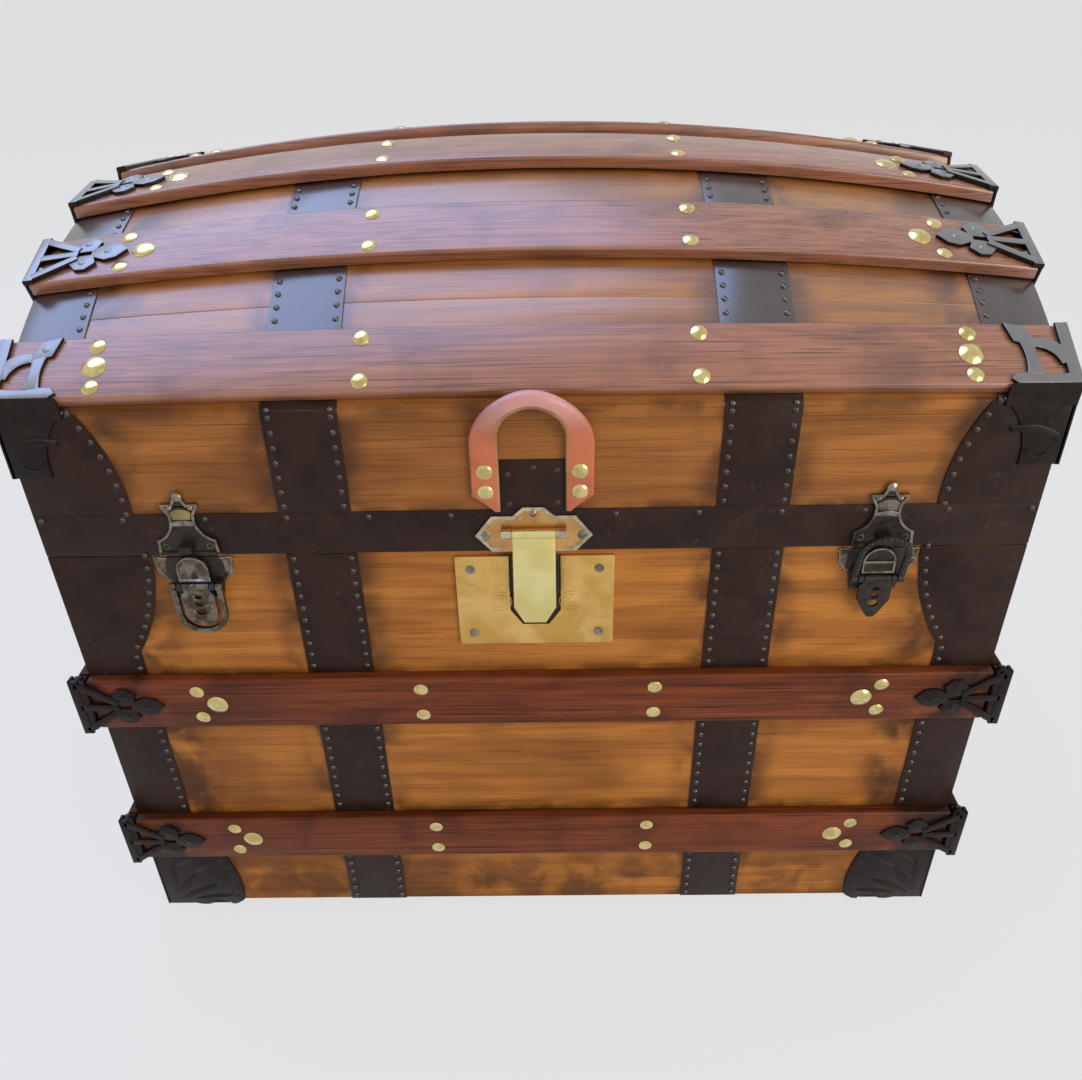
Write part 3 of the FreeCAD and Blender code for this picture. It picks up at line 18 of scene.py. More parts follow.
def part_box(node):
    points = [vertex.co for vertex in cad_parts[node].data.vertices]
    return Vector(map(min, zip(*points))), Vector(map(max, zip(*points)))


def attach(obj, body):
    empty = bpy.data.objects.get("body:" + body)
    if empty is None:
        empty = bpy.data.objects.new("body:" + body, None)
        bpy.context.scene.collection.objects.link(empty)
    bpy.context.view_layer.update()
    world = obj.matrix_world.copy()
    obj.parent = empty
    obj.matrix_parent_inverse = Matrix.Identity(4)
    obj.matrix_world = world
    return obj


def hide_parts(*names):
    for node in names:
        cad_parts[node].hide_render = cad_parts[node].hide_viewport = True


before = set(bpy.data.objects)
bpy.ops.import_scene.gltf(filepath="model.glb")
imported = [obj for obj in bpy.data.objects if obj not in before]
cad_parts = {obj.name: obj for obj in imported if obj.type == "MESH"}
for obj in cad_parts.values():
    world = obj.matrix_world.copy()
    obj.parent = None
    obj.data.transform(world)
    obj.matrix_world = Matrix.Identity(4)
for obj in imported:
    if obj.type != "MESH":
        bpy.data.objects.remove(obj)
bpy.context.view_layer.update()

MM = 0.001
UP = Vector((0.0, 0.0, 1.0))
RIGHT = Vector((1.0, 0.0, 0.0))
BACKWARD = Vector((0.0, 1.0, 0.0))
SIDES = (-1, 1)
log = logging.getLogger("trunk")

Point = tuple[float, float]
Triple = tuple[float, float, float]
Corner = tuple[float, ...]
Points = Sequence[Point]
Verts = list[bmesh.types.BMVert]
Tree = bpy.types.NodeTree
Socket = bpy.types.NodeSocket

# Sizes in millimetres, angles in degrees, and counts that several pieces share
HEAD_SINK = 0.2
BEND_PITCH = 18.0
DOME_PITCH = 10.0
FRONT_MARGIN = 13.0
SHARP_EDGE = 25.0
SKYWARD = 0.5
HOLE_SIDES = 20
BARREL_SIDES = 20
PANEL_SLOPE = 0.6
MERGE_DISTANCE = 0.001
LATCH_REACH = 266.0


class Body(Enum):
    """Moving bodies of the trunk."""

    TRUNK = "trunk"
    LID = "lid"
    HASP = "hasp"
    LEFT_LEVER = "left_latch_lever"
    RIGHT_LEVER = "right_latch_lever"
    LEFT_LOOP = "left_latch_loop"
    RIGHT_LOOP = "right_latch_loop"


class Slot(Enum):
    """Material slots of the record."""

    PINE = "pine_boards"
    HARDWOOD = "hardwood_slats"
    SHEET = "japanned_sheet"
    CASTING = "cast_fittings"
    NAILS = "brass_nails"
    BRASS = "satin_brass"
    BRONZE = "bronzed_plate"
    STEEL = "aged_steel"
    LEATHER = "leather"


class Grain(Enum):
    """Axis that a timber's grain runs along."""

    LENGTHWAYS = 0
    DEPTHWAYS = 1


class Texture(Enum):
    """Kinds of procedural pattern."""

    CLOUDS = "ShaderNodeTexNoise"
    CELLS = "ShaderNodeTexVoronoi"


class Manner(Enum):
    """Ways in which a tone lies over the colour under it."""

    COVER = "MIX"
    DARKEN = "MULTIPLY"


class Side(Enum):
    """Sides of the trunk, as seen by someone who faces its front."""

    LEFT = "left"
    RIGHT = "right"


# Finishes


def linear(code: str) -> tuple[float, float, float, float]:
    """Turn an sRGB hex colour to a linear one.

    Args:
        code: six hex digits, with a leading hash.

    Returns:
        Linear red, green, blue and a full alpha.
    """
    channels = [int(code[start:start + 2], 16) / 255 for start in (1, 3, 5)]
    bent = [c / 12.92 if c <= 0.04045 else ((c + 0.055) / 1.055) ** 2.4 for c in channels]
    return (*bent, 1.0)


def add_node(tree: Tree, kind: str, sockets: dict | None = None, **settings: object) -> bpy.types.Node:
    """Add a node with its settings, socket values and links.

    Args:
        tree: node tree that gets the node.
        kind: the node's type name.
        sockets: input names or numbers, each with a value or with an output socket to link.
        settings: properties of the node.

    Returns:
        The new node.
    """
    node = tree.nodes.new(kind)
    for name, value in settings.items():
        setattr(node, name, value)
    for key, value in (sockets or {}).items():
        if isinstance(value, Socket):
            tree.links.new(value, node.inputs[key])
        else:
            node.inputs[key].default_value = value
    return node


def spans(window: Point, ends: Point = (0.0, 1.0)) -> dict[str, float]:
    """Socket values that map a window of values on to two ends."""
    return dict(zip(("From Min", "From Max", "To Min", "To Max"), (*window, *ends)))


@dataclass(frozen=True)
class Pattern:
    """Pattern whose patches have a real size along x, y and z, in millimetres."""

    spread: Triple
    detail: float = 4.0
    stir: float = 0.0
    rings: float = 0.0
    texture: Texture = Texture.CLOUDS

    def lay(self, tree: Tree, place: Socket) -> Socket:
        """Lay the pattern's nodes.

        Args:
            tree: the material's node tree.
            place: object coordinates in metres.

        Returns:
            Socket with the pattern's value, about 0.5, or from -1 to 1 where it is drawn out to rings.
        """
        scale = tuple(1 / (size * MM) for size in self.spread)
        spot = add_node(tree, "ShaderNodeMapping", {"Vector": place, "Scale": scale})
        sockets = {"Vector": spot.outputs[0], "Scale": 1.0, "Detail": self.detail}
        if self.stir:
            sockets["Distortion"] = self.stir
        value = add_node(tree, self.texture.value, sockets).outputs[0]
        if not self.rings:
            return value
        turns = add_node(tree, "ShaderNodeMath", {0: value, 1: math.tau * self.rings}, operation="MULTIPLY")
        return add_node(tree, "ShaderNodeMath", {0: turns.outputs[0]}, operation="SINE").outputs[0]


@dataclass(frozen=True)
class Tone:
    """Colour that shows where a pattern's value passes through a window."""

    colour: str
    pattern: Pattern
    window: Point
    strength: float = 1.0
    manner: Manner = Manner.COVER

    def lay(self, tree: Tree, place: Socket, under: Socket | tuple) -> Socket:
        """Lay the tone over the colour under it.

        Args:
            tree: the material's node tree.
            place: object coordinates in metres.
            under: the colour so far.

        Returns:
            Socket with the new colour.
        """
        sockets = {0: self.share(tree, place), 6: under, 7: linear(self.colour)}
        mixed = add_node(tree, "ShaderNodeMix", sockets, data_type="RGBA", blend_type=self.manner.value)
        return mixed.outputs[2]

    def share(self, tree: Tree, place: Socket) -> Socket:
        """How much of the tone shows at each place.

        Args:
            tree: the material's node tree.
            place: object coordinates in metres.

        Returns:
            Socket with the share.
        """
        sockets = {"Value": self.pattern.lay(tree, place), **spans(self.window, (0.0, self.strength))}
        return add_node(tree, "ShaderNodeMapRange", sockets, interpolation_type="SMOOTHSTEP").outputs[0]


@dataclass(frozen=True)
class Strip:
    """Strip beside which a surface is toned: stains by metal and timber, soot and painted shade at the
    slats' ends, grime and painted shade by the floor, and a painted sheen of the sky on the lid handle's
    arch.

    Its middle is a distance from the trunk's middle plane, or from the floor, and it counts on both sides.
    """

    axis: int
    middle: float
    half_width: float
    reach: float = 26.0
    strength: float = 0.75


SKIN_DEPTH = 5.0
HAZE_WINDOW = (0.3, 0.7)
RELIEF_DEPTH = 0.5
EVERYWHERE = (1, -SKIN_DEPTH)


@dataclass(frozen=True)
class StripTone(Tone):
    """Ragged tone that shows only beside some strips, and only past a distance along one axis."""

    strips: tuple[Strip, ...] = ()
    skin: tuple[int, float] = EVERYWHERE

    def share(self, tree: Tree, place: Socket) -> Socket:
        """How much of the tone shows at each place.

        Args:
            tree: the material's node tree.
            place: object coordinates in metres.

        Returns:
            Socket with the share.
        """
        axes = add_node(tree, "ShaderNodeSeparateXYZ", {0: place}).outputs
        mask = 0.0
        for strip in self.strips:
            away = axes[strip.axis]
            for operation, less in (("ABSOLUTE", 0.0), ("SUBTRACT", strip.middle * MM), ("ABSOLUTE", 0.0)):
                away = add_node(tree, "ShaderNodeMath", {0: away, 1: less}, operation=operation).outputs[0]
            near, far = strip.half_width * MM, (strip.half_width + strip.reach) * MM
            sockets = {"Value": away, **spans((near, far), (strip.strength, 0.0))}
            edge = add_node(tree, "ShaderNodeMapRange", sockets, interpolation_type="SMOOTHSTEP").outputs[0]
            mask = add_node(tree, "ShaderNodeMath", {0: edge, 1: mask}, operation="MAXIMUM").outputs[0]
        axis, depth = self.skin
        away = add_node(tree, "ShaderNodeMath", {0: axes[axis]}, operation="ABSOLUTE").outputs[0]
        sockets = {"Value": away, **spans((depth * MM, (depth + SKIN_DEPTH) * MM))}
        outer = add_node(tree, "ShaderNodeMapRange", sockets).outputs[0]
        for factor in (outer, super().share(tree, place)):
            mask = add_node(tree, "ShaderNodeMath", {0: mask, 1: factor}, operation="MULTIPLY").outputs[0]
        return mask


@dataclass(frozen=True, kw_only=True)
class Finish:
    """A surface finish, made into a material when it is first used."""

    name: str
    base: str
    roughness: Point
    bump: float
    specular: float = 0.5
    metallic: float = 0.0
    coat: float = 0.0
    coat_roughness: float = 0.2
    coat_index: float = 1.5

    @property
    def tones(self) -> list[Tone]:
        """Tones over the base colour, lowest first."""
        raise NotImplementedError

    @property
    def relief(self) -> Pattern:
        """Pattern that the surface rises and falls with."""
        raise NotImplementedError

    @property
    def haze(self) -> Pattern:
        """Pattern that the roughness follows."""
        raise NotImplementedError

    @cached_property
    def material(self) -> bpy.types.Material:
        """Material of this finish.

        Returns:
            Its material, made once.
        """
        made = bpy.data.materials.new(self.name)
        made.use_nodes = True
        tree = made.node_tree
        tree.nodes.clear()
        place = add_node(tree, "ShaderNodeTexCoord").outputs["Object"]
        colour = linear(self.base)
        for tone in self.tones:
            colour = tone.lay(tree, place, colour)
        haze = self.haze.lay(tree, place)
        rough = add_node(tree, "ShaderNodeMapRange", {"Value": haze, **spans(HAZE_WINDOW, self.roughness)})
        height = self.relief.lay(tree, place)
        sockets = {"Height": height, "Strength": self.bump, "Distance": RELIEF_DEPTH * MM}
        raised = add_node(tree, "ShaderNodeBump", sockets)
        shader = add_node(
            tree,
            "ShaderNodeBsdfPrincipled",
            {
                "Base Color": colour,
                "Metallic": self.metallic,
                "Roughness": rough.outputs[0],
                "Specular IOR Level": self.specular,
                "Normal": raised.outputs[0],
                "Coat Weight": self.coat,
                "Coat Roughness": self.coat_roughness,
                "Coat IOR": self.coat_index,
            },
        )
        add_node(tree, "ShaderNodeOutputMaterial", {"Surface": shader.outputs[0]})
        return made


@dataclass(frozen=True, kw_only=True)
class Timber(Finish):
    """Sawn and varnished wood, its streaks drawn out along the grain.

    Its fibres are drawn coarser than real ones, so that they show.
    """

    middle: str
    dark: str
    grain: Grain
    streak: Point = (420.0, 13.0)
    fibre: Point = (70.0, 1.3)
    ring: float = 21.0
    ring_strength: float = 0.24
    blotch: float = 130.0
    pores: float = 0.36
    # Colour that darkens the wood beside its strips: stains by the iron, soot and painted shade at the
    # slats' ends, grime and painted shade by the floor
    stain_and_shade: str = "#3E2413"
    strips: tuple[Strip, ...] = ()
    skin: tuple[int, float] = EVERYWHERE

    def stretch(self, size: Point) -> Triple:
        """Patch size along the three axes, long along the grain."""
        return tuple(size[0] if axis == self.grain.value else size[1] for axis in range(3))

    @property
    def tones(self) -> list[Tone]:
        """Tones of the wood.

        Returns:
            Streaks, growth rings, blotches, pores, and the stains, soot and painted shade beside the strips.
        """
        rings = Pattern(self.stretch((self.ring * 22, self.ring * 4)), 2.0, 0.2, rings=7.0)
        ragged = Pattern((38.0,) * 3, 5.0, 0.4)
        return [
            Tone(self.middle, Pattern(self.stretch(self.streak), 6.0, 0.7), (0.3, 0.7)),
            Tone(self.dark, rings, (0.1, 1.0), self.ring_strength),
            Tone(self.dark, Pattern((self.blotch,) * 3, 3.0, 0.3), (0.48, 0.72), 0.55),
            Tone(self.dark, self.relief, (0.52, 0.68), self.pores, Manner.DARKEN),
            StripTone(self.stain_and_shade, ragged, (0.32, 0.6), strips=self.strips, skin=self.skin),
        ]

    @property
    def relief(self) -> Pattern:
        """Fibres."""
        return Pattern(self.stretch(self.fibre), 3.0)

    @property
    def haze(self) -> Pattern:
        """Varnish that sank in unevenly."""
        return Pattern(self.stretch(self.streak), 3.0)


@dataclass(frozen=True, kw_only=True)
class Metal(Finish):
    """Metal or lacquered metal with patches of another tone, grit and wear.

    Its grit is drawn coarser than a real one, so that it shows.
    """

    patch: str
    worn: str
    patch_size: float = 18.0
    grit: Triple = (1.5, 1.5, 1.5)
    wear: Point = (0.62, 0.75)
    scratched: float = 0.0

    @property
    def tones(self) -> list[Tone]:
        """Tones of the metal.

        Returns:
            Patches, rubbed spots and the lighter lines of the scratches.
        """
        return [
            Tone(self.patch, self.haze, (0.35, 0.65)),
            Tone(self.worn, Pattern((self.patch_size / 4,) * 3, 8.0, 0.9), self.wear),
            Tone(self.worn, self.relief, (0.55, 0.8), self.scratched),
        ]

    @property
    def relief(self) -> Pattern:
        """Grit or scratches."""
        return Pattern(self.grit, 3.0)

    @property
    def haze(self) -> Pattern:
        """Tarnished patches."""
        return Pattern((self.patch_size,) * 3, 5.0, 0.5)


@dataclass(frozen=True, kw_only=True)
class Leather(Finish):
    """Leather with a fine pebbled grain."""

    dark: str
    pebble: float = 1.6
    cloud: float = 22.0
    # Colour of a painted sheen: the sky's pale rose reflection over the handle's arch
    painted_sheen: str = "#E2AAA4"
    strips: tuple[Strip, ...] = ()

    @property
    def tones(self) -> list[Tone]:
        """Tones of the hide.

        Returns:
            Its clouds, the creases between its pebbles, and a pale rose painted sheen of the sky over the
            handle's arch.
        """
        return [
            Tone(self.dark, self.haze, (0.4, 0.7)),
            Tone(self.dark, self.relief, (0.45, 0.9), 0.3),
            StripTone(self.painted_sheen, self.haze, (0.0, 0.3), strips=self.strips),
        ]

    @property
    def relief(self) -> Pattern:
        """Pebbles."""
        return Pattern((self.pebble,) * 3, 0.0, texture=Texture.CELLS)

    @property
    def haze(self) -> Pattern:
        """Clouds."""
        return Pattern((self.cloud,) * 3, 5.0, 0.4)


BAND_STRIP = Strip(0, 165.0, 27.5)
CORNER_STRIP = Strip(0, 378.0, 66.0, 34.0, 0.85)
UPPER_SLAT_STRIP = Strip(2, 277.0, 26.0, 12.0, 0.6)
LOWER_SLAT_STRIP = Strip(2, 108.5, 26.0, 16.0, 0.7)
# Grime and painted shade: the boards darken towards the floor
FLOOR_STRIP = Strip(2, 0.0, 34.0, 80.0, 0.66)
LID_SLAT_STRIP = Strip(2, 560.0, 18.0, 14.0, 0.6)
VALANCE_STRIP = Strip(2, 440.0, 19.0, 12.0, 0.7)
# Soot and painted shade: the slats darken at their ends, under the clamps' openwork
SLAT_END_STRIP = Strip(0, 390.0, 50.0, 22.0, 0.92)
END_SLAT_STRIP = Strip(1, 287.0, 50.0, 22.0, 0.92)
# Painted sheen: a pale rose reflection of the sky over the lid handle's arch
ARCH_SHEEN_STRIP = Strip(2, 575.0, 20.0, 34.0, 0.7)

# Pine boards, planed and oiled to an amber varnish: soft streaks, blotches, dark stains by the iron, and
# grime with painted shade towards the floor
BODY_PINE = Timber(
    name="pine_planed_amber_varnish_body",
    base="#CC8438",
    middle="#AA692D",
    dark="#74411A",
    grain=Grain.LENGTHWAYS,
    roughness=(0.4, 0.55),
    bump=0.1,
    specular=0.18,
    strips=(BAND_STRIP, CORNER_STRIP, UPPER_SLAT_STRIP, LOWER_SLAT_STRIP, FLOOR_STRIP),
    skin=(1, 268.0),
)
# The lid's pine, planed and varnished: the same boards, a shade browner
LID_PINE = Timber(
    name="pine_planed_amber_varnish_lid",
    base="#B87636",
    middle="#9C602A",
    dark="#6C3F1C",
    grain=Grain.LENGTHWAYS,
    roughness=(0.38, 0.5),
    bump=0.1,
    specular=0.22,
    strips=(BAND_STRIP, CORNER_STRIP, LID_SLAT_STRIP, VALANCE_STRIP),
    skin=(1, 268.0),
)
# The dome's inner face, planed and left clear of iron: no stains
LINING_PINE = replace(LID_PINE, name="pine_planed_bare_lining", strips=())
# The dome's staves, varnished thicker: they mirror the sky in a soft sheet
DOME_PINE = replace(
    LID_PINE,
    name="pine_planed_gloss_varnish_dome",
    coat=1.0,
    coat_roughness=0.28,
    coat_index=1.8,
    strips=(BAND_STRIP, CORNER_STRIP),
    skin=EVERYWHERE,
)
# Boards of the end walls, planed and oiled: the same pine, its grain from front to back
END_PINE = replace(
    BODY_PINE,
    name="pine_planed_amber_varnish_ends",
    grain=Grain.DEPTHWAYS,
    strips=(UPPER_SLAT_STRIP, LOWER_SLAT_STRIP, FLOOR_STRIP, VALANCE_STRIP),
    skin=(0, 371.0),
)
# Hardwood slats, sawn straight and varnished red-brown: long dark pores under a soft gloss, their ends
# darkened under the clamps by soot and painted shade
SLAT_WOOD = Timber(
    name="hardwood_sawn_red_varnish",
    base="#8A4522",
    middle="#6E3417",
    dark="#401D0C",
    grain=Grain.LENGTHWAYS,
    streak=(520.0, 7.0),
    fibre=(110.0, 1.1),
    ring=12.0,
    blotch=60.0,
    pores=0.7,
    roughness=(0.34, 0.5),
    bump=0.14,
    specular=0.18,
    stain_and_shade="#1C110B",
    strips=(SLAT_END_STRIP,),
)
# The dome's slats, varnished thicker: browner, with a gloss that mirrors the sky
DOME_SLAT_WOOD = replace(
    SLAT_WOOD,
    name="hardwood_sawn_gloss_varnish_dome",
    base="#B0704E",
    middle="#945A3A",
    dark="#623820",
    streak=(460.0, 3.6),
    coat=1.0,
    coat_roughness=0.3,
    coat_index=1.75,
    strips=(),
)
# Slats of the end walls, sawn and varnished: the same wood, its grain from front to back
END_SLAT_WOOD = replace(
    SLAT_WOOD,
    name="hardwood_sawn_red_varnish_ends",
    grain=Grain.DEPTHWAYS,
    strips=(END_SLAT_STRIP,),
)
# Sheet iron, rolled and japanned: a brown-black lacquer that shines softly and is rubbed in spots
JAPANNED_IRON = Metal(
    name="sheet_iron_japanned_brown",
    base="#271811",
    patch="#35221A",
    worn="#4E3629",
    roughness=(0.36, 0.55),
    bump=0.14,
    specular=0.18,
    patch_size=30.0,
    grit=(3.0, 3.0, 3.0),
    wear=(0.6, 0.8),
)
# The same iron over the dome, lacquered thicker: it mirrors the sky in a blurred sheet
DOME_IRON = replace(
    JAPANNED_IRON,
    name="sheet_iron_japanned_gloss_dome",
    coat=1.0,
    coat_roughness=0.24,
    coat_index=1.9,
)
# Rivets of the sheet iron, headed and japanned with it: lighter worn spots, partly rubbed wear and partly
# painted highlights, so each shows a spot of light
RIVET_IRON = replace(
    JAPANNED_IRON,
    name="iron_rivets_japanned_rubbed_painted_highlight",
    base="#2A1C15",
    patch="#38281F",
    worn="#57483B",
    roughness=(0.26, 0.4),
    specular=0.35,
    coat=0.25,
    wear=(0.55, 0.75),
)
# Cast iron, lacquered black-brown: rough skin, brighter where hands have rubbed it
CAST_IRON = Metal(
    name="cast_iron_lacquered",
    base="#170F0C",
    patch="#241812",
    worn="#493629",
    roughness=(0.24, 0.42),
    bump=0.3,
    specular=0.2,
    patch_size=14.0,
    grit=(1.8, 1.8, 1.8),
    wear=(0.62, 0.78),
)
# The same castings' upward faces, lacquered thicker so that they mirror the sky, and painted a lighter grey:
# a painted blue-grey sheen on their tops
SKY_SHEEN_CAST_IRON = replace(
    CAST_IRON,
    name="cast_iron_lacquered_gloss_painted_sheen",
    base="#34312F",
    patch="#423E3B",
    coat=1.0,
    coat_roughness=0.36,
    coat_index=2.5,
)
# Brass nails, stamped and polished: a bright yellow mirror with faint tarnish
NAIL_BRASS = Metal(
    name="brass_stamped_polished",
    base="#D8C373",
    patch="#B8A04E",
    worn="#F0E4B0",
    metallic=1.0,
    coat=1.0,
    coat_roughness=0.1,
    coat_index=1.9,
    roughness=(0.14, 0.26),
    bump=0.03,
    patch_size=9.0,
)
# Sheet brass, rolled and rubbed with fine abrasive: satin, with scratches across
SATIN_BRASS = Metal(
    name="brass_rolled_satin",
    base="#DFB76F",
    patch="#C89F53",
    worn="#F0DA9C",
    metallic=1.0,
    roughness=(0.28, 0.44),
    bump=0.05,
    patch_size=26.0,
    grit=(14.0, 14.0, 0.8),
    wear=(0.7, 0.85),
    scratched=0.3,
)
# The hasp's brass, polished by use: paler and smoother than the plate behind it
PALE_BRASS = replace(
    SATIN_BRASS,
    name="brass_rolled_polished_pale",
    base="#EADC9C",
    patch="#D8C880",
    worn="#F5EEC8",
    roughness=(0.2, 0.34),
)
# Brass left to tarnish: olive, with little shine
DULL_BRASS = replace(
    SATIN_BRASS,
    name="brass_tarnished_olive",
    base="#A39363",
    patch="#857748",
    worn="#C2B588",
)
# Sheet brass, bronzed: warmer and duller than the lock plate
BRONZED_BRASS = Metal(
    name="brass_bronzed_plate",
    base="#D0A06A",
    patch="#B98A55",
    worn="#E6C99A",
    metallic=1.0,
    roughness=(0.24, 0.4),
    bump=0.08,
    patch_size=16.0,
)
# Steel, tinned and tarnished: grey with brown bloom in the hollows
AGED_STEEL = Metal(
    name="steel_tinned_tarnished",
    base="#7C7468",
    patch="#4A4138",
    worn="#B9B4A8",
    metallic=1.0,
    roughness=(0.26, 0.45),
    bump=0.12,
    patch_size=8.0,
)
# Nickel over steel, plated and worn: a light warm grey on the raised rims
WORN_NICKEL = replace(
    AGED_STEEL,
    name="steel_nickel_plated_worn",
    base="#928A7E",
    patch="#6C655A",
    worn="#CFC9BC",
    roughness=(0.2, 0.36),
)
# The hasp plate's nickel, painted a pale beige grey: a painted highlight along its bevelled rim and on its
# knuckles
HIGHLIGHT_NICKEL = replace(
    WORN_NICKEL,
    name="steel_nickel_plated_painted_highlight",
    base="#C9BEA6",
    patch="#A4977D",
    worn="#EDE6D6",
)
# Steel with old lacquer and grime in its hollows: nearly black; it also paints shade in the lock's recess,
# on the catches' lugs and in the screws' slots
GRIME_AND_SHADE_STEEL = replace(
    AGED_STEEL,
    name="steel_blackened_grime_painted_shade",
    base="#2A241F",
    patch="#3B332B",
    worn="#5C5347",
    metallic=0.6,
    roughness=(0.34, 0.55),
)
# Cowhide, vegetable-tanned: warm tan with a fine pebble, and a pale rose painted sheen of the sky over the
# handle's arch
TAN_LEATHER = Leather(
    name="cowhide_vegetable_tanned",
    base="#D2703A",
    dark="#BC5E30",
    roughness=(0.34, 0.5),
    bump=0.15,
    specular=0.3,
    coat=1.0,
    coat_roughness=0.42,
    coat_index=1.5,
    strips=(ARCH_SHEEN_STRIP,),
)
# The hide's cut edge: pale fibres
CUT_LEATHER = replace(
    TAN_LEATHER,
    name="cowhide_cut_edge",
    base="#B8864F",
    dark="#96683A",
    roughness=(0.6, 0.75),
    pebble=0.9,
    strips=(),
)


# Tools of the bench


def arc_points(start: Point, end: Point, bulge: float, steps: int) -> list[Point]:
    """Points on a circular arc, without its end.

    Args:
        start: first point.
        end: last point.
        bulge: height of the arc over its chord, to the right of the way from start to end.
        steps: chords that stand for the arc.

    Returns:
        Points from the start up to the one before the end.
    """
    run = Vector((end[0] - start[0], end[1] - start[1]))
    half = run.length / 2
    across = Vector((run.y, -run.x)).normalized()
    radius = (half * half + bulge * bulge) / (2 * bulge)
    hub = Vector(start) + run / 2 + across * (bulge - radius)
    first = Vector(start) - hub
    sweep = math.copysign(2 * math.atan2(half, abs(radius) - abs(bulge)), bulge)
    points = []
    for step in range(steps):
        turn = Matrix.Rotation(sweep * step / steps, 2)
        points.append(tuple(hub + turn @ first))
    return points


def outline(corners: Sequence[Corner], steps: int = 8, closed: bool = True) -> list[Point]:
    """Points of an outline from its corners.

    Args:
        corners: (u, v), or (u, v, bulge) where the next side is an arc.
        steps: chords that stand for an arc.
        closed: whether the last corner runs back to the first.

    Returns:
        The outline's points.
    """
    points: list[Point] = []
    for index, corner in enumerate(corners):
        spot = (corner[0], corner[1])
        last = index == len(corners) - 1
        if len(corner) == 2 or (last and not closed):
            points.append(spot)
            continue
        follower = corners[(index + 1) % len(corners)]
        points.extend(arc_points(spot, (follower[0], follower[1]), corner[2], steps))
    return points


def along(points: Points, pitch: float) -> list[Point]:
    """Evenly spaced spots along an open line.

    Args:
        points: the line's corners.
        pitch: wanted distance between spots.

    Returns:
        Spots from the first point to the last.
    """
    runs = [math.dist(a, b) for a, b in zip(points, points[1:])]
    count = max(1, round(sum(runs) / pitch))
    spots = []
    for number in range(count + 1):
        left = sum(runs) * number / count
        index = 0
        while index < len(runs) - 1 and left > runs[index]:
            left -= runs[index]
            index += 1
        spots.append(tuple(Vector(points[index]).lerp(Vector(points[index + 1]), left / runs[index])))
    return spots


def bar_outline(start: Point, end: Point, widths: Point) -> list[Point]:
    """Outline of a straight bar.

    Args:
        start: middle of its first end.
        end: middle of its last end.
        widths: its widths at both ends.

    Returns:
        Its four corners.
    """
    run = (Vector(end) - Vector(start)).normalized()
    side = Vector((-run.y, run.x))
    spots = ((start, -widths[0]), (end, -widths[1]), (end, widths[1]), (start, widths[0]))
    return [tuple(Vector(spot) + side * (width / 2)) for spot, width in spots]


@dataclass(frozen=True)
class Stud:
    """Round head: radius, height, upright lip, steps up its dome, and sides."""

    radius: float
    height: float
    lip: float = 0.2
    rings: int = 3
    sides: int = 14

    @property
    def profile(self) -> list[Point]:
        """Radius and height of each ring, from the rim to the top.

        Returns:
            Rings of a spherical cap over the lip.
        """
        rise = self.height - self.lip
        ball = (self.radius**2 + rise**2) / (2 * rise)
        half_turn = math.asin(self.radius / ball)
        rings = [(self.radius, 0.0)]
        for ring in range(self.rings):
            turn = half_turn * (1 - ring / self.rings)
            rings.append((ball * math.sin(turn), self.height - ball * (1 - math.cos(turn))))
        return [*rings, (0.0, self.height)]


def ring_profile(radius: float, width: float, height: float) -> list[Point]:
    """Profile of a raised ring round a spot, closed under its foot.

    Args:
        radius: radius of its crest.
        width: width at its foot.
        height: height of its crest.

    Returns:
        Radius and height of each corner.
    """
    foot = (radius + width / 2, -height / 2)
    crest = [(radius + width / 4, height), (radius - width / 4, height)]
    return [foot, *crest, (radius - width / 2, -height / 2), foot]


def rectangle(low: Point, high: Point) -> list[Point]:
    """Outline of an upright rectangle between two corners."""
    return [low, (high[0], low[1]), high, (low[0], high[1])]


def soft_square(count: int, power: float) -> list[Point]:
    """Spots round a square from -1 to 1 with soft corners.

    Args:
        count: number of spots.
        power: 1 for a circle, and lower for a squarer form.

    Returns:
        The spots.
    """
    spots = []
    for number in range(count):
        angle = math.tau * number / count
        sides = (math.cos(angle), math.sin(angle))
        spots.append(tuple(math.copysign(abs(side) ** power, side) for side in sides))
    return spots


def leaf_outline(start: Point, end: Point, width: float, steps: int = 6) -> list[Point]:
    """Outline of a leaf that swells between two blunt ends.

    Args:
        start: middle of its first end.
        end: middle of its last end.
        width: its width in the middle.
        steps: chords along each side.

    Returns:
        The outline's points.
    """
    run = Vector(end) - Vector(start)
    side = Vector((-run.y, run.x)).normalized()
    tip, swell = 0.12, 0.38
    halves = [width * (tip + swell * math.sin(math.pi * step / steps)) for step in range(steps + 1)]
    near = [Vector(start) + run * (step / steps) - side * half for step, half in enumerate(halves)]
    far = [Vector(start) + run * (step / steps) + side * half for step, half in enumerate(halves)]
    return [tuple(spot) for spot in (*near, *reversed(far))]


def stand(across: Vector, up: Vector, out: Vector, spot: Vector) -> Matrix:
    """Place whose axes are three directions.

    Args:
        across: where the piece's u goes.
        up: where its v goes.
        out: where its w goes.
        spot: where its origin goes.

    Returns:
        Matrix from the piece to the trunk, in millimetres.
    """
    return Matrix.Translation(spot) @ Matrix((across, up, out)).transposed().to_4x4()


def wall_place(out: Vector, spot: Vector) -> Matrix:
    """Place on an upright wall, with v up and w out of the wall."""
    return stand(UP.cross(out), UP, out, spot)


def moved(place: Matrix, u: float, v: float, w: float = 0.0) -> Matrix:
    """Place moved along its own axes."""
    return place @ Matrix.Translation((u, v, w))


def stud_place(spot: Vector, out: Vector) -> Matrix:
    """Place of a round head on any surface."""
    return Matrix.Translation(spot) @ UP.rotation_difference(out).to_matrix().to_4x4()


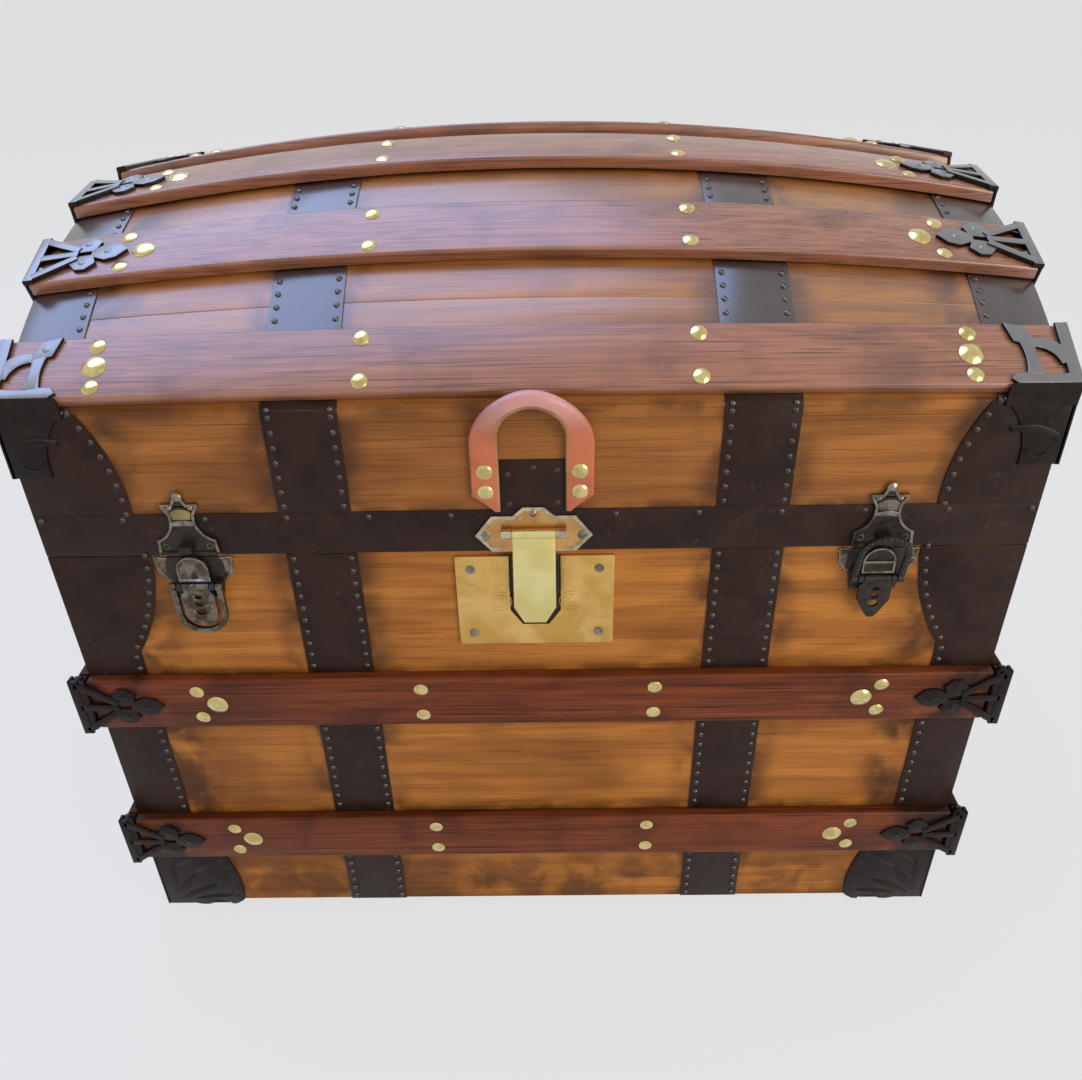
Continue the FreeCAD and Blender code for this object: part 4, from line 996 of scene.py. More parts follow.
class Blank:
    """A piece in the making: a mesh in millimetres that operators shape."""

    def __init__(self) -> None:
        """Start with nothing on the bench."""
        self.mesh = bmesh.new()

    def block(self, low: Sequence[float], high: Sequence[float]) -> Verts:
        """Add a box.

        Args:
            low: lowest corner.
            high: highest corner.

        Returns:
            The box's vertices.
        """
        middle = (Vector(low) + Vector(high)) / 2
        size = Vector(high) - Vector(low)
        place = Matrix.Translation(middle) @ Matrix.Diagonal((*size, 1.0))
        return bmesh.ops.create_cube(self.mesh, size=1.0, matrix=place)["verts"]

    def prism(self, points: Points, depth: float, place: Matrix | None = None) -> Verts:
        """Add a flat piece cut from an outline.

        Args:
            points: the outline.
            depth: thickness, out along w.
            place: where it goes.

        Returns:
            The piece's vertices.
        """
        low = [self.mesh.verts.new((u, v, 0.0)) for u, v in points]
        made = low + self.thicken([self.mesh.faces.new(low)], depth)
        if place is not None:
            bmesh.ops.transform(self.mesh, matrix=place, verts=made)
        return made

    def thicken(self, faces: Sequence[bmesh.types.BMFace], depth: float) -> Verts:
        """Draw flat faces out along w.

        Args:
            faces: the faces.
            depth: thickness.

        Returns:
            The new vertices.
        """
        grown = bmesh.ops.extrude_face_region(self.mesh, geom=faces)["geom"]
        high = [item for item in grown if isinstance(item, bmesh.types.BMVert)]
        bmesh.ops.translate(self.mesh, verts=high, vec=(0.0, 0.0, depth))
        return high

    def lathe(self, profile: Sequence[Point], steps: int, place: Matrix | None = None) -> Verts:
        """Add a turned piece.

        Args:
            profile: radius and height of each ring.
            steps: sides of a ring.
            place: where it goes.

        Returns:
            The piece's vertices.
        """
        line = [self.mesh.verts.new((radius, 0.0, height)) for radius, height in profile]
        edges = [self.mesh.edges.new(pair) for pair in zip(line, line[1:])]
        before = set(self.mesh.verts) - set(line)
        bmesh.ops.spin(
            self.mesh,
            geom=line + edges,
            cent=(0.0, 0.0, 0.0),
            axis=UP,
            angle=math.tau,
            steps=steps,
            use_merge=True,
        )
        made = [vert for vert in self.mesh.verts if vert not in before]
        bmesh.ops.remove_doubles(self.mesh, verts=made, dist=MERGE_DISTANCE)
        made = [vert for vert in self.mesh.verts if vert not in before]
        if place is not None:
            bmesh.ops.transform(self.mesh, matrix=place, verts=made)
        return made

    def stud(self, head: Stud, place: Matrix) -> None:
        """Add a domed head."""
        self.lathe(head.profile, head.sides, place)

    def stamp(self, template: "Blank", places: Iterable[Matrix]) -> None:
        """Copy another piece to many places."""
        for place in places:
            self.wrap(template, place.__matmul__)

    def wrap(self, template: "Blank", rule: Callable[[Vector], Vector]) -> None:
        """Copy another piece, with every vertex moved by a rule.

        Args:
            template: the piece.
            rule: gives each vertex its new place.
        """
        data = bpy.data.meshes.new("template")
        template.mesh.to_mesh(data)
        for vert in data.vertices:
            vert.co = rule(vert.co)
        self.mesh.from_mesh(data)
        bpy.data.meshes.remove(data)

    def cast(self, points: Points, depth: float, rounding: float, place: Matrix | None = None) -> None:
        """Add a flat piece with rounded edges.

        Args:
            points: its outline.
            depth: thickness, out along w.
            rounding: size of the rounding.
            place: where it goes.
        """
        piece = Blank()
        piece.prism(points, depth)
        piece.soften(rounding, pick=lambda edge: all(vert.co.z > depth / 2 for vert in edge.verts))
        self.stamp(piece, [Matrix() if place is None else place])

    def panel(
        self,
        points: Points,
        depth: float,
        rim: float,
        sink: float,
        place: Matrix,
        tone: int = 1,
    ) -> None:
        """Add a flat piece whose face is sunk inside a rim and takes another finish.

        Args:
            points: its outline.
            depth: thickness, out along w.
            rim: width of the rim.
            sink: how deep the face lies under the rim.
            place: where it goes.
            tone: number of the face's finish, counted from the piece's first.
        """
        piece = Blank()
        piece.prism(points, depth)
        piece.face_out()
        face = max(piece.mesh.faces, key=lambda item: item.calc_center_median().z)
        slope = sink * PANEL_SLOPE
        bmesh.ops.inset_region(piece.mesh, faces=[face], thickness=rim, use_even_offset=True)
        bmesh.ops.inset_region(piece.mesh, faces=[face], thickness=slope, depth=-sink, use_even_offset=True)
        face.material_index = tone
        self.stamp(piece, [place])

    def pierced(
        self,
        points: Points,
        holes: Sequence[tuple[float, float, float, float]],
        depth: float,
        place: Matrix,
        rounding: float = 0.5,
    ) -> None:
        """Add a flat piece with oval holes.

        Args:
            points: its outline.
            holes: middle, half width and half height of each hole.
            depth: thickness, out along w.
            place: where it goes.
            rounding: size of the rounding.
        """
        piece = Blank()
        verts = [piece.mesh.verts.new((u, v, 0.0)) for u, v in points]
        for pair in zip(verts, verts[1:] + verts[:1]):
            piece.mesh.edges.new(pair)
        for u, v, wide, tall in holes:
            oval = Matrix.Translation((u, v, 0.0)) @ Matrix.Diagonal((wide, tall, 1.0, 1.0))
            bmesh.ops.create_circle(piece.mesh, segments=HOLE_SIDES, radius=1.0, matrix=oval)
        bmesh.ops.triangle_fill(piece.mesh, edges=piece.mesh.edges, use_beauty=True, normal=UP)
        piece.thicken(piece.mesh.faces, depth)
        piece.face_out()
        piece.soften(rounding)
        self.stamp(piece, [place])

    def face_out(self) -> None:
        """Turn every face outwards."""
        bmesh.ops.recalc_face_normals(self.mesh, faces=self.mesh.faces)

    def join(self, piece: "Blank", tone: int, place: Matrix | None = None) -> None:
        """Add another piece, all in one finish.

        Args:
            piece: the other piece.
            tone: number of its finish, counted from this piece's first.
            place: where it goes.
        """
        piece.tone_where(tone, lambda face: True)
        self.stamp(piece, [Matrix() if place is None else place])

    def tone_where(self, tone: int, test: Callable[[bmesh.types.BMFace], bool]) -> None:
        """Give the faces that pass a test another finish.

        Args:
            tone: number of the finish, counted from the piece's first.
            test: the test.
        """
        for face in self.mesh.faces:
            if test(face):
                face.material_index = tone

    def tone_skyward(self, tone: int) -> None:
        """Give the faces that look up the finish of this number."""
        self.face_out()
        self.tone_where(tone, lambda face: face.normal.z > SKYWARD)

    def loft(self, rings: Sequence[Sequence[Vector]]) -> None:
        """Add a closed skin over a row of sections.

        Args:
            rings: points of each section.
        """
        loops = []
        ends = []
        for ring in rings:
            verts = [self.mesh.verts.new(spot) for spot in ring]
            loops.append([self.mesh.edges.new(pair) for pair in zip(verts, verts[1:] + verts[:1])])
            ends.append(verts)
        for first, second in zip(loops, loops[1:]):
            bmesh.ops.bridge_loops(self.mesh, edges=first + second)
        for verts in (ends[0], ends[-1]):
            self.mesh.faces.new(verts)

    def soften(
        self,
        width: float,
        segments: int = 2,
        verts: Iterable[bmesh.types.BMVert] | None = None,
        pick: Callable[[bmesh.types.BMEdge], bool] | None = None,
    ) -> None:
        """Round the sharp edges.

        Args:
            width: size of the rounding.
            segments: faces across the rounding.
            verts: vertices whose edges are taken, or all of them.
            pick: test that an edge has to pass as well.
        """
        chosen = set(self.mesh.verts) if verts is None else set(verts)
        sharp = math.radians(SHARP_EDGE)
        edges = [
            edge for edge in self.mesh.edges
            if edge.verts[0] in chosen and edge.verts[1] in chosen and edge.calc_face_angle(0.0) > sharp
        ]
        if pick is not None:
            edges = [edge for edge in edges if pick(edge)]
        bmesh.ops.bevel(
            self.mesh,
            geom=edges,
            offset=width,
            offset_type="OFFSET",
            affect="EDGES",
            segments=segments,
            profile=0.5,
            material=-1,
            clamp_overlap=True,
        )

    def divide(self, axis: int, pitch: float) -> None:
        """Cut the edges that run along an axis into even lengths.

        Args:
            axis: 0, 1 or 2.
            pitch: wanted length of a cut.
        """
        edges = []
        straight = 0.98
        for edge in self.mesh.edges:
            run = edge.verts[1].co - edge.verts[0].co
            if abs(run[axis]) > straight * run.length and run.length > pitch:
                edges.append(edge)
        if edges:
            longest = max(edge.calc_length() for edge in edges)
            cuts = max(1, round(longest / pitch) - 1)
            bmesh.ops.subdivide_edges(self.mesh, edges=edges, cuts=cuts, use_grid_fill=True)

    def bend(self, rule: Callable[[Vector], Vector]) -> None:
        """Move every vertex by a rule."""
        for vert in self.mesh.verts:
            vert.co = rule(vert.co)

    def release(
        self,
        name: str,
        finish: Finish,
        body: Body,
        stands_for: Sequence[str] = (),
        crease: float = 32.0,
        also: Sequence[Finish] = (),
    ) -> bpy.types.Object:
        """Scale the piece to metres and fix it to its body.

        Args:
            name: the piece's name.
            finish: how it is finished.
            body: what it moves with.
            stands_for: nodes of the frame that it replaces.
            crease: angle in degrees above which an edge stays sharp.
            also: further finishes, for the faces that are toned with their numbers.

        Returns:
            The finished object.
        """
        self.face_out()
        bmesh.ops.scale(self.mesh, vec=(MM,) * 3, verts=self.mesh.verts)
        data = bpy.data.meshes.new(name)
        self.mesh.to_mesh(data)
        self.mesh.free()
        data.shade_smooth()
        data.set_sharp_from_angle(angle=math.radians(crease))
        for layer in (finish, *also):
            data.materials.append(layer.material)
        piece = bpy.data.objects.new(name, data)
        bpy.context.scene.collection.objects.link(piece)
        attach(piece, body.value)
        if stands_for:
            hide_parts(*stands_for)
        log.info("%s: %d faces on %s", name, len(data.polygons), body.value)
        return piece


def barrel(blank: Blank, place: Matrix, radius: float, start: float, end: float, lip: float = 0.35) -> None:
    """Add a knuckle along a pin, its ends eased.

    Args:
        blank: piece that gets it.
        place: the pin's place, with u along it.
        radius: the knuckle's radius.
        start: where it starts along the pin.
        end: where it ends.
        lip: easing at both ends.
    """
    low, high = sorted((start, end))
    near = [(0.0, low), (radius - lip, low), (radius, low + lip)]
    far = [(radius, high - lip), (radius - lip, high), (0.0, high)]
    blank.lathe(near + far, BARREL_SIDES, place @ Matrix.Rotation(math.pi / 2, 4, "Y"))


def dress_node(name: str, finish: Finish) -> None:
    """Give a node of the frame a finish.

    Args:
        name: the node.
        finish: its finish.
    """
    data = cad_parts[name].data
    data.materials.clear()
    data.materials.append(finish.material)
    log.info("%s dressed in %s", name, finish.name)


# The trunk's shape


@dataclass(frozen=True)
class Dome:
    """Bowed top of the lid: a parabola across it, whose rise grows towards the middle of the length."""

    half_length: float
    half_depth: float
    edge: float
    end_rise: float
    crown_rise: float = 36.0
    slat_count: int = 6
    edge_slat_inset: float = 30.0
    slope_step: float = 0.01
    arc_steps: int = 400
    skin: float = 1.3
    seat_gap: float = 0.15

    @classmethod
    def of_frame(cls, panel_thickness: float = 10.0) -> "Dome":
        """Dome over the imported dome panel.

        Args:
            panel_thickness: thickness of the panel.

        Returns:
            The dome.
        """
        low, high = (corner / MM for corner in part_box("dome_panel"))
        edge = low.z + panel_thickness
        return cls(high.x, high.y, edge, high.z - edge - cls.crown_rise)

    def height(self, x: float, y: float) -> float:
        """Height of the dome's face above the floor."""
        rise = self.end_rise + self.crown_rise * (1 - (x / self.half_length) ** 2)
        return self.edge + rise * (1 - (y / self.half_depth) ** 2)

    def slope(self, x: float, y: float) -> float:
        """Slope across the dome."""
        step = self.slope_step
        return (self.height(x, y + step) - self.height(x, y - step)) / (2 * step)

    def normal(self, x: float, y: float) -> Vector:
        """Direction out of the dome.

        Args:
            x: distance along the trunk.
            y: depth.

        Returns:
            A vector of length 1.
        """
        step = self.slope_step
        run = (self.height(x + step, y) - self.height(x - step, y)) / (2 * step)
        return Vector((-run, -self.slope(x, y), 1.0)).normalized()

    def point(self, x: float, y: float, lift: float = 0.0) -> Vector:
        """Point over the dome, lifted straight up."""
        return Vector((x, y, self.height(x, y) + lift))

    @cached_property
    def slat_lines(self) -> list[float]:
        """Middle lines of the slats, evenly spaced along the arc of the dome's end.

        Returns:
            Depth of each.
        """
        depth = 2 * self.half_depth
        ys = [depth * (index / self.arc_steps - 0.5) for index in range(self.arc_steps + 1)]
        ends = [self.point(self.half_length, y) for y in ys]
        arc = [0.0]
        for a, b in zip(ends, ends[1:]):
            arc.append(arc[-1] + (b - a).length)
        pitch = (arc[-1] - 2 * self.edge_slat_inset) / (self.slat_count - 1)
        lines = []
        for number in range(self.slat_count):
            target = self.edge_slat_inset + pitch * number
            index = max(spot for spot in range(self.arc_steps) if arc[spot] <= target)
            share = (target - arc[index]) / (arc[index + 1] - arc[index])
            lines.append(ys[index] + share * (ys[index + 1] - ys[index]))
        return lines

    def on_slat(self, x: float, y: float, across: float, out: float) -> Vector:
        """Point by a slat.

        Args:
            x: distance along the slat.
            y: depth of its middle line.
            across: distance from the middle line.
            out: distance from the slat's seat.

        Returns:
            The point on the trunk.
        """
        angle = math.atan(self.slope(x, y))
        side = Vector((0.0, math.cos(angle), math.sin(angle)))
        away = Vector((0.0, -math.sin(angle), math.cos(angle)))
        lift = self.skin * math.cos(angle) + self.seat_gap
        return self.point(x, y) + away * (lift + out) + side * across

    def slat_place(self, x: float, y: float, across: float, out: float) -> Matrix:
        """Place on a slat's face: u along the slat, v across it, w out.

        Args:
            x: distance along the slat.
            y: depth of its middle line.
            across: distance from the middle line.
            out: distance from the slat's seat.

        Returns:
            The place.
        """
        ahead = self.on_slat(x + self.slope_step, y, across, out)
        behind = self.on_slat(x - self.slope_step, y, across, out)
        lengthways = (ahead - behind).normalized()
        angle = math.atan(self.slope(x, y))
        side = Vector((0.0, math.cos(angle), math.sin(angle)))
        return stand(lengthways, side, lengthways.cross(side), self.on_slat(x, y, across, out))

    def clear_of_slats(self, y: float, margin: float) -> bool:
        """Whether a depth on the dome is clear of every slat by a margin."""
        angle = math.atan(self.slope(0.0, y))
        return all(abs(y - line) / math.cos(angle) > margin for line in self.slat_lines)


@dataclass(frozen=True)
class Wall:
    """Upright wall: its outward direction, distance from the middle, half width, and if it is broad."""

    out: Vector
    distance: float
    half_width: float
    broad: bool

    def place(self, lift: float = 0.0) -> Matrix:
        """Place whose origin is the wall's middle line at the floor."""
        return wall_place(self.out, self.out * (self.distance + lift))

    def from_corner(self, sign: int, spots: Iterable[Point]) -> list[Point]:
        """Spots on the wall, from spots measured inwards from its left (-1) or right (1) corner."""
        return [(sign * (self.half_width - away), z) for away, z in spots]


@dataclass(frozen=True)
class Shape:
    """Levels and walls that the pieces share."""

    dome: Dome
    foot: float = 7.0
    parting: float = 422.0
    lid_base: float = 422.4
    valance_top: float = 459.0
    sheet: float = 1.2
    slat_width: float = 52.0
    slat_thickness: float = 10.0
    body_slats: Point = (82.5, 251.0)
    band_reach: float = 165.0
    band_width: float = 55.0

    @property
    def broad_walls(self) -> list[Wall]:
        """Front and back."""
        dome = self.dome
        return [Wall(BACKWARD * sign, dome.half_depth, dome.half_length, True) for sign in SIDES]

    @property
    def end_walls(self) -> list[Wall]:
        """Left and right ends."""
        dome = self.dome
        return [Wall(RIGHT * sign, dome.half_length, dome.half_depth, False) for sign in SIDES]

    @property
    def walls(self) -> list[Wall]:
        """All four walls."""
        return [*self.broad_walls, *self.end_walls]

    def clear_of_body_slats(self, z: float, margin: float = 3.0) -> bool:
        """Whether a height is clear of the slats round the chest."""
        return all(not low - margin < z < low + self.slat_width + margin for low in self.body_slats)


# Sub-assemblies


@dataclass
class Boards:
    """Pine boards of chest and lid, and the staves of the dome."""

    shape: Shape
    stave_count: int = 8
    stave_thickness: float = 10.0
    stave_joint: float = 0.7
    cross_pitch: float = 12.0

    def build(self) -> None:
        """Dress the flat boards and make the staves."""
        for name in ("front_board", "back_board"):
            dress_node(name, BODY_PINE)
        for name in ("left_end_board", "right_end_board", "lid_left_end_board", "lid_right_end_board"):
            dress_node(name, END_PINE)
        for name in ("lid_front_board", "lid_back_board"):
            dress_node(name, LID_PINE)
        dress_node("bottom_board", BODY_PINE)
        self.staves()

    def staves(self) -> None:
        """Bowed staves of the dome, their edges eased so that each joint shows."""
        dome = self.shape.dome
        blank = Blank()
        width = 2 * dome.half_depth / self.stave_count
        for number in range(self.stave_count):
            low = -dome.half_depth + width * number
            near = (-dome.half_length, low, -self.stave_thickness)
            verts = blank.block(near, (dome.half_length, low + width, 0.0))
            blank.soften(self.stave_joint, 2, verts)
        blank.divide(0, BEND_PITCH)
        blank.divide(1, self.cross_pitch)
        front = dome.half_depth - FRONT_MARGIN
        blank.tone_where(1, lambda face: abs(face.calc_center_median().y) > front)
        blank.tone_where(2, lambda face: face.calc_center_median().z < -self.stave_thickness / 2)
        blank.bend(lambda spot: dome.point(*spot))
        blank.release(
            "dome_staves", DOME_PINE, Body.LID, ["dome_panel"], also=[LID_PINE, LINING_PINE]
        )


@dataclass
class Slats:
    """Hardwood slats: six bowed ones over the dome, and straight ones round the chest."""

    shape: Shape
    overhang: float = 2.0
    arris: float = 2.5
    fine_arris: float = 0.9
    names: tuple[str, ...] = (
        "front_edge_slat",
        "front_slope_slat",
        "front_crest_slat",
        "back_crest_slat",
        "back_slope_slat",
        "back_edge_slat",
    )

    def bar(self, blank: Blank, half_length: float) -> None:
        """Add a straight slat with rounded outer arrises, lying along x with its face up.

        Args:
            blank: piece that gets it.
            half_length: half its length.
        """
        half = self.shape.slat_width / 2
        top = self.shape.slat_thickness
        slack = 0.1
        verts = blank.block((-half_length, -half, 0.0), (half_length, half, top))
        blank.soften(
            self.arris,
            4,
            verts,
            lambda edge: all(vert.co.z > top - slack for vert in edge.verts)
            and abs(edge.verts[0].co.y - edge.verts[1].co.y) < slack,
        )
        blank.soften(self.fine_arris)

    def build(self) -> None:
        """Make every slat."""
        dome = self.shape.dome
        for name, line in zip(self.names, dome.slat_lines):
            blank = Blank()
            self.bar(blank, dome.half_length + self.overhang)
            blank.divide(0, BEND_PITCH)
            blank.bend(lambda spot: dome.on_slat(spot.x, line, spot.y, spot.z))
            blank.release(f"{name}_timber", DOME_SLAT_WOOD, Body.LID, [name])
        half = self.shape.slat_width / 2
        for wall, face in zip(self.shape.broad_walls, ("front", "back")):
            for level, low in zip(("lower", "upper"), self.shape.body_slats):
                blank = Blank()
                self.bar(blank, wall.half_width)
                blank.mesh.transform(moved(wall.place(self.shape.sheet), 0.0, low + half))
                name = f"{face}_{level}_slat"
                blank.release(f"{name}_timber", SLAT_WOOD, Body.TRUNK, [name])
        for wall, side in zip(self.shape.end_walls, Side):
            blank = Blank()
            for low in self.shape.body_slats:
                bar = Blank()
                self.bar(bar, wall.half_width)
                blank.stamp(bar, [moved(wall.place(self.shape.sheet), 0.0, low + half)])
            name = f"{side.value}_end_slats"
            blank.release(f"{name}_timber", END_SLAT_WOOD, Body.TRUNK, [name])


@dataclass
class SheetIron:
    """Japanned bands and bindings, with the small rivets along their edges."""

    shape: Shape
    strip_width: float = 49.0
    flare_width: float = 80.0
    flare_height: float = 95.0
    lid_top_width: float = 53.0
    lid_foot_width: float = 75.0
    lid_curve: float = 6.5
    curve: float = 7.0
    end_binding: float = 49.0
    end_drop: float = 25.0
    parting_gap: float = 0.4
    skin_gap: float = 0.1
    hem: float = 0.4
    rivet_radius: float = 2.5
    rivet_height: float = 1.5
    rivet_shoulder: Point = (0.75, 0.7)
    rivet_pitch: float = 12.0
    rivet_inset: float = 5.0
    rivet_sides: int = 8
    valance_pitch: float = 63.0
    hinge_span: float = 60.0
    row_steps: int = 120
    spots: dict[Body, list[Matrix]] = field(default_factory=lambda: {Body.TRUNK: [], Body.LID: []})

    def build(self) -> None:
        """Make all the sheet metal and its rivets."""
        self.bands()
        self.dome_bands()
        self.end_bindings()
        self.body_corners()
        self.lid_corners()
        self.valance()
        self.rivets()

    def mark(self, body: Body, place: Matrix, spots: Iterable[Point]) -> None:
        """Note rivets on a flat piece, apart from those that a slat would cover.

        Args:
            body: what they move with.
            place: the piece's place.
            spots: (u, v) of each.
        """
        for u, v in spots:
            if self.shape.clear_of_body_slats(v):
                self.spots[body].append(moved(place, u, v, self.shape.sheet))

    def finish(self, blank: Blank, name: str, body: Body, node: str) -> None:
        """Hem a japanned piece and release it."""
        blank.soften(self.hem)
        blank.release(f"{name}_sheet", JAPANNED_IRON, body, [node])

    def bands(self) -> None:
        """Upright bands on the front and the back of chest and lid."""
        shape = self.shape
        half = shape.band_width / 2
        levels = (
            (Body.TRUNK, "body_bands", shape.foot, shape.parting - self.parting_gap),
            (Body.LID, "lid_bands", shape.valance_top, shape.dome.edge),
        )
        for body, name, low, high in levels:
            blank = Blank()
            for wall in shape.broad_walls:
                place = wall.place()
                for sign in SIDES:
                    middle = shape.band_reach * sign
                    blank.prism(rectangle((middle - half, low), (middle + half, high)), shape.sheet, place)
                    for edge in (middle - half + self.rivet_inset, middle + half - self.rivet_inset):
                        line = [(edge, low + self.rivet_inset), (edge, high - self.rivet_inset)]
                        self.mark(body, place, along(line, self.rivet_pitch))
            self.finish(blank, name, body, name)

    def dome_bands(self) -> None:
        """Bands over the dome, from those on the front to those on the back."""
        dome = self.shape.dome
        half = self.shape.band_width / 2
        blank = Blank()
        for sign in SIDES:
            middle = self.shape.band_reach * sign
            blank.block(
                (middle - half, -dome.half_depth, self.skin_gap),
                (middle + half, dome.half_depth, self.skin_gap + self.shape.sheet),
            )
            for edge in (middle - half + self.rivet_inset, middle + half - self.rivet_inset):
                self.dome_row(edge)
        blank.soften(self.hem)
        blank.divide(1, DOME_PITCH)
        front = dome.half_depth - FRONT_MARGIN
        blank.tone_where(1, lambda face: abs(face.calc_center_median().y) > front)
        blank.bend(lambda spot: dome.point(*spot))
        blank.release(
            "dome_bands_sheet", DOME_IRON, Body.LID, ["dome_bands"], also=[JAPANNED_IRON]
        )

    def dome_row(self, x: float) -> None:
        """Note a row of rivets across the dome, clear of the slats.

        Args:
            x: where the row is along the trunk.
        """
        dome = self.shape.dome
        steps = self.row_steps
        ys = [dome.half_depth * (2 * step / steps - 1) for step in range(steps + 1)]
        line = [(y, dome.height(x, y)) for y in ys]
        lift = self.skin_gap + self.shape.sheet
        for y, _ in along(line, self.rivet_pitch):
            if dome.clear_of_slats(y, self.shape.slat_width / 2 + self.rivet_radius):
                self.spots[Body.LID].append(stud_place(dome.point(x, y, lift), dome.normal(x, y)))

    def end_bindings(self) -> None:
        """Angle bindings along both ends of the dome."""
        dome = self.shape.dome
        sheet = self.shape.sheet
        blank = Blank()
        top = self.skin_gap + sheet
        for sign in SIDES:
            edge = dome.half_length * sign
            inner = edge - self.end_binding * sign
            outer = edge + sheet * sign
            for near, far, low in ((inner, outer, self.skin_gap), (edge, outer, -self.end_drop)):
                start, end = sorted((near, far))
                blank.block((start, -dome.half_depth, low), (end, dome.half_depth, top))
            self.dome_row(inner + self.rivet_inset * sign)
        blank.soften(self.hem)
        blank.divide(1, DOME_PITCH)
        blank.bend(lambda spot: dome.point(*spot))
        blank.release("dome_end_binding_sheet", DOME_IRON, Body.LID, ["dome_end_bindings"])

    def corner(self, blank: Blank, body: Body, wall: Wall, edge: Sequence[Corner]) -> None:
        """Add a corner binding's plates at both corners of a wall, with rivets along their inner edges.

        Args:
            blank: piece that gets the plates.
            body: what the rivets move with.
            wall: the wall.
            edge: inner edge, by distance from the trunk's corner and height, from its foot up.
        """
        lap = -self.shape.sheet if wall.broad else 0.0
        points = outline([(lap, edge[0][1]), *edge, (lap, edge[-1][1])])
        inset = outline([(corner[0] - self.rivet_inset, *corner[1:]) for corner in edge], closed=False)
        place = wall.place()
        for sign in SIDES:
            blank.prism(wall.from_corner(sign, points), self.shape.sheet, place)
            self.mark(body, place, wall.from_corner(sign, along(inset, self.rivet_pitch)))

    def body_corners(self) -> None:
        """Corner bindings of the chest, flared under the lid."""
        rim = self.shape.parting - self.parting_gap
        edge = (
            (self.strip_width, self.shape.body_slats[0]),
            (self.strip_width, rim - self.flare_height, self.curve),
            (self.flare_width, rim),
        )
        blank = Blank()
        for wall in self.shape.walls:
            self.corner(blank, Body.TRUNK, wall, edge)
        self.finish(blank, "body_corner", Body.TRUNK, "body_corner_bindings")

    def lid_corners(self) -> None:
        """Corner bindings of the lid, curved along their inner edge."""
        shape = self.shape
        blank = Blank()
        for wall in shape.walls:
            top = shape.dome.edge if wall.broad else shape.dome.edge - self.end_drop
            edge = ((self.lid_foot_width, shape.valance_top, self.lid_curve), (self.lid_top_width, top))
            self.corner(blank, Body.LID, wall, edge)
        self.finish(blank, "lid_corner", Body.LID, "lid_corner_bindings")

    def valance(self) -> None:
        """Strip round the lid's lower edge."""
        shape = self.shape
        blank = Blank()
        for wall in shape.walls:
            half = wall.half_width + (shape.sheet if wall.broad else 0.0)
            for low, high in self.valance_runs(wall, half):
                points = rectangle((low, shape.lid_base), (high, shape.valance_top))
                blank.prism(points, shape.sheet, wall.place())
                level = shape.valance_top - self.rivet_inset
                line = [(low + self.rivet_inset, level), (high - self.rivet_inset, level)]
                self.mark(Body.LID, wall.place(), along(line, self.valance_pitch))
        self.finish(blank, "lid_valance", Body.LID, "lid_valance")

    def valance_runs(self, wall: Wall, half: float) -> list[Point]:
        """Lengths of the valance on a wall, with gaps for the hinges on the back.

        Args:
            wall: the wall.
            half: half the length that the valance covers.

        Returns:
            Start and end of each length.
        """
        if wall.out.y <= 0.0:
            return [(-half, half)]
        low, high = (corner.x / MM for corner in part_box("hinge_lid_leaves"))
        gap = self.parting_gap
        hinge = self.hinge_span
        return [(-half, low - gap), (low + hinge + gap, high - hinge - gap), (high + gap, half)]

    def rivets(self) -> None:
        """Small domed rivets in all the rows."""
        wide, tall = self.rivet_shoulder
        shoulder = (self.rivet_radius * wide, self.rivet_height * tall)
        profile = [(self.rivet_radius, 0.0), shoulder, (0.0, self.rivet_height)]
        for body, places in self.spots.items():
            head = Blank()
            head.lathe(profile, self.rivet_sides)
            blank = Blank()
            blank.stamp(head, places)
            blank.tone_skyward(1)
            blank.release(
                f"{body.value}_sheet_rivets", RIVET_IRON, body, crease=70.0, also=[DOME_IRON]
            )


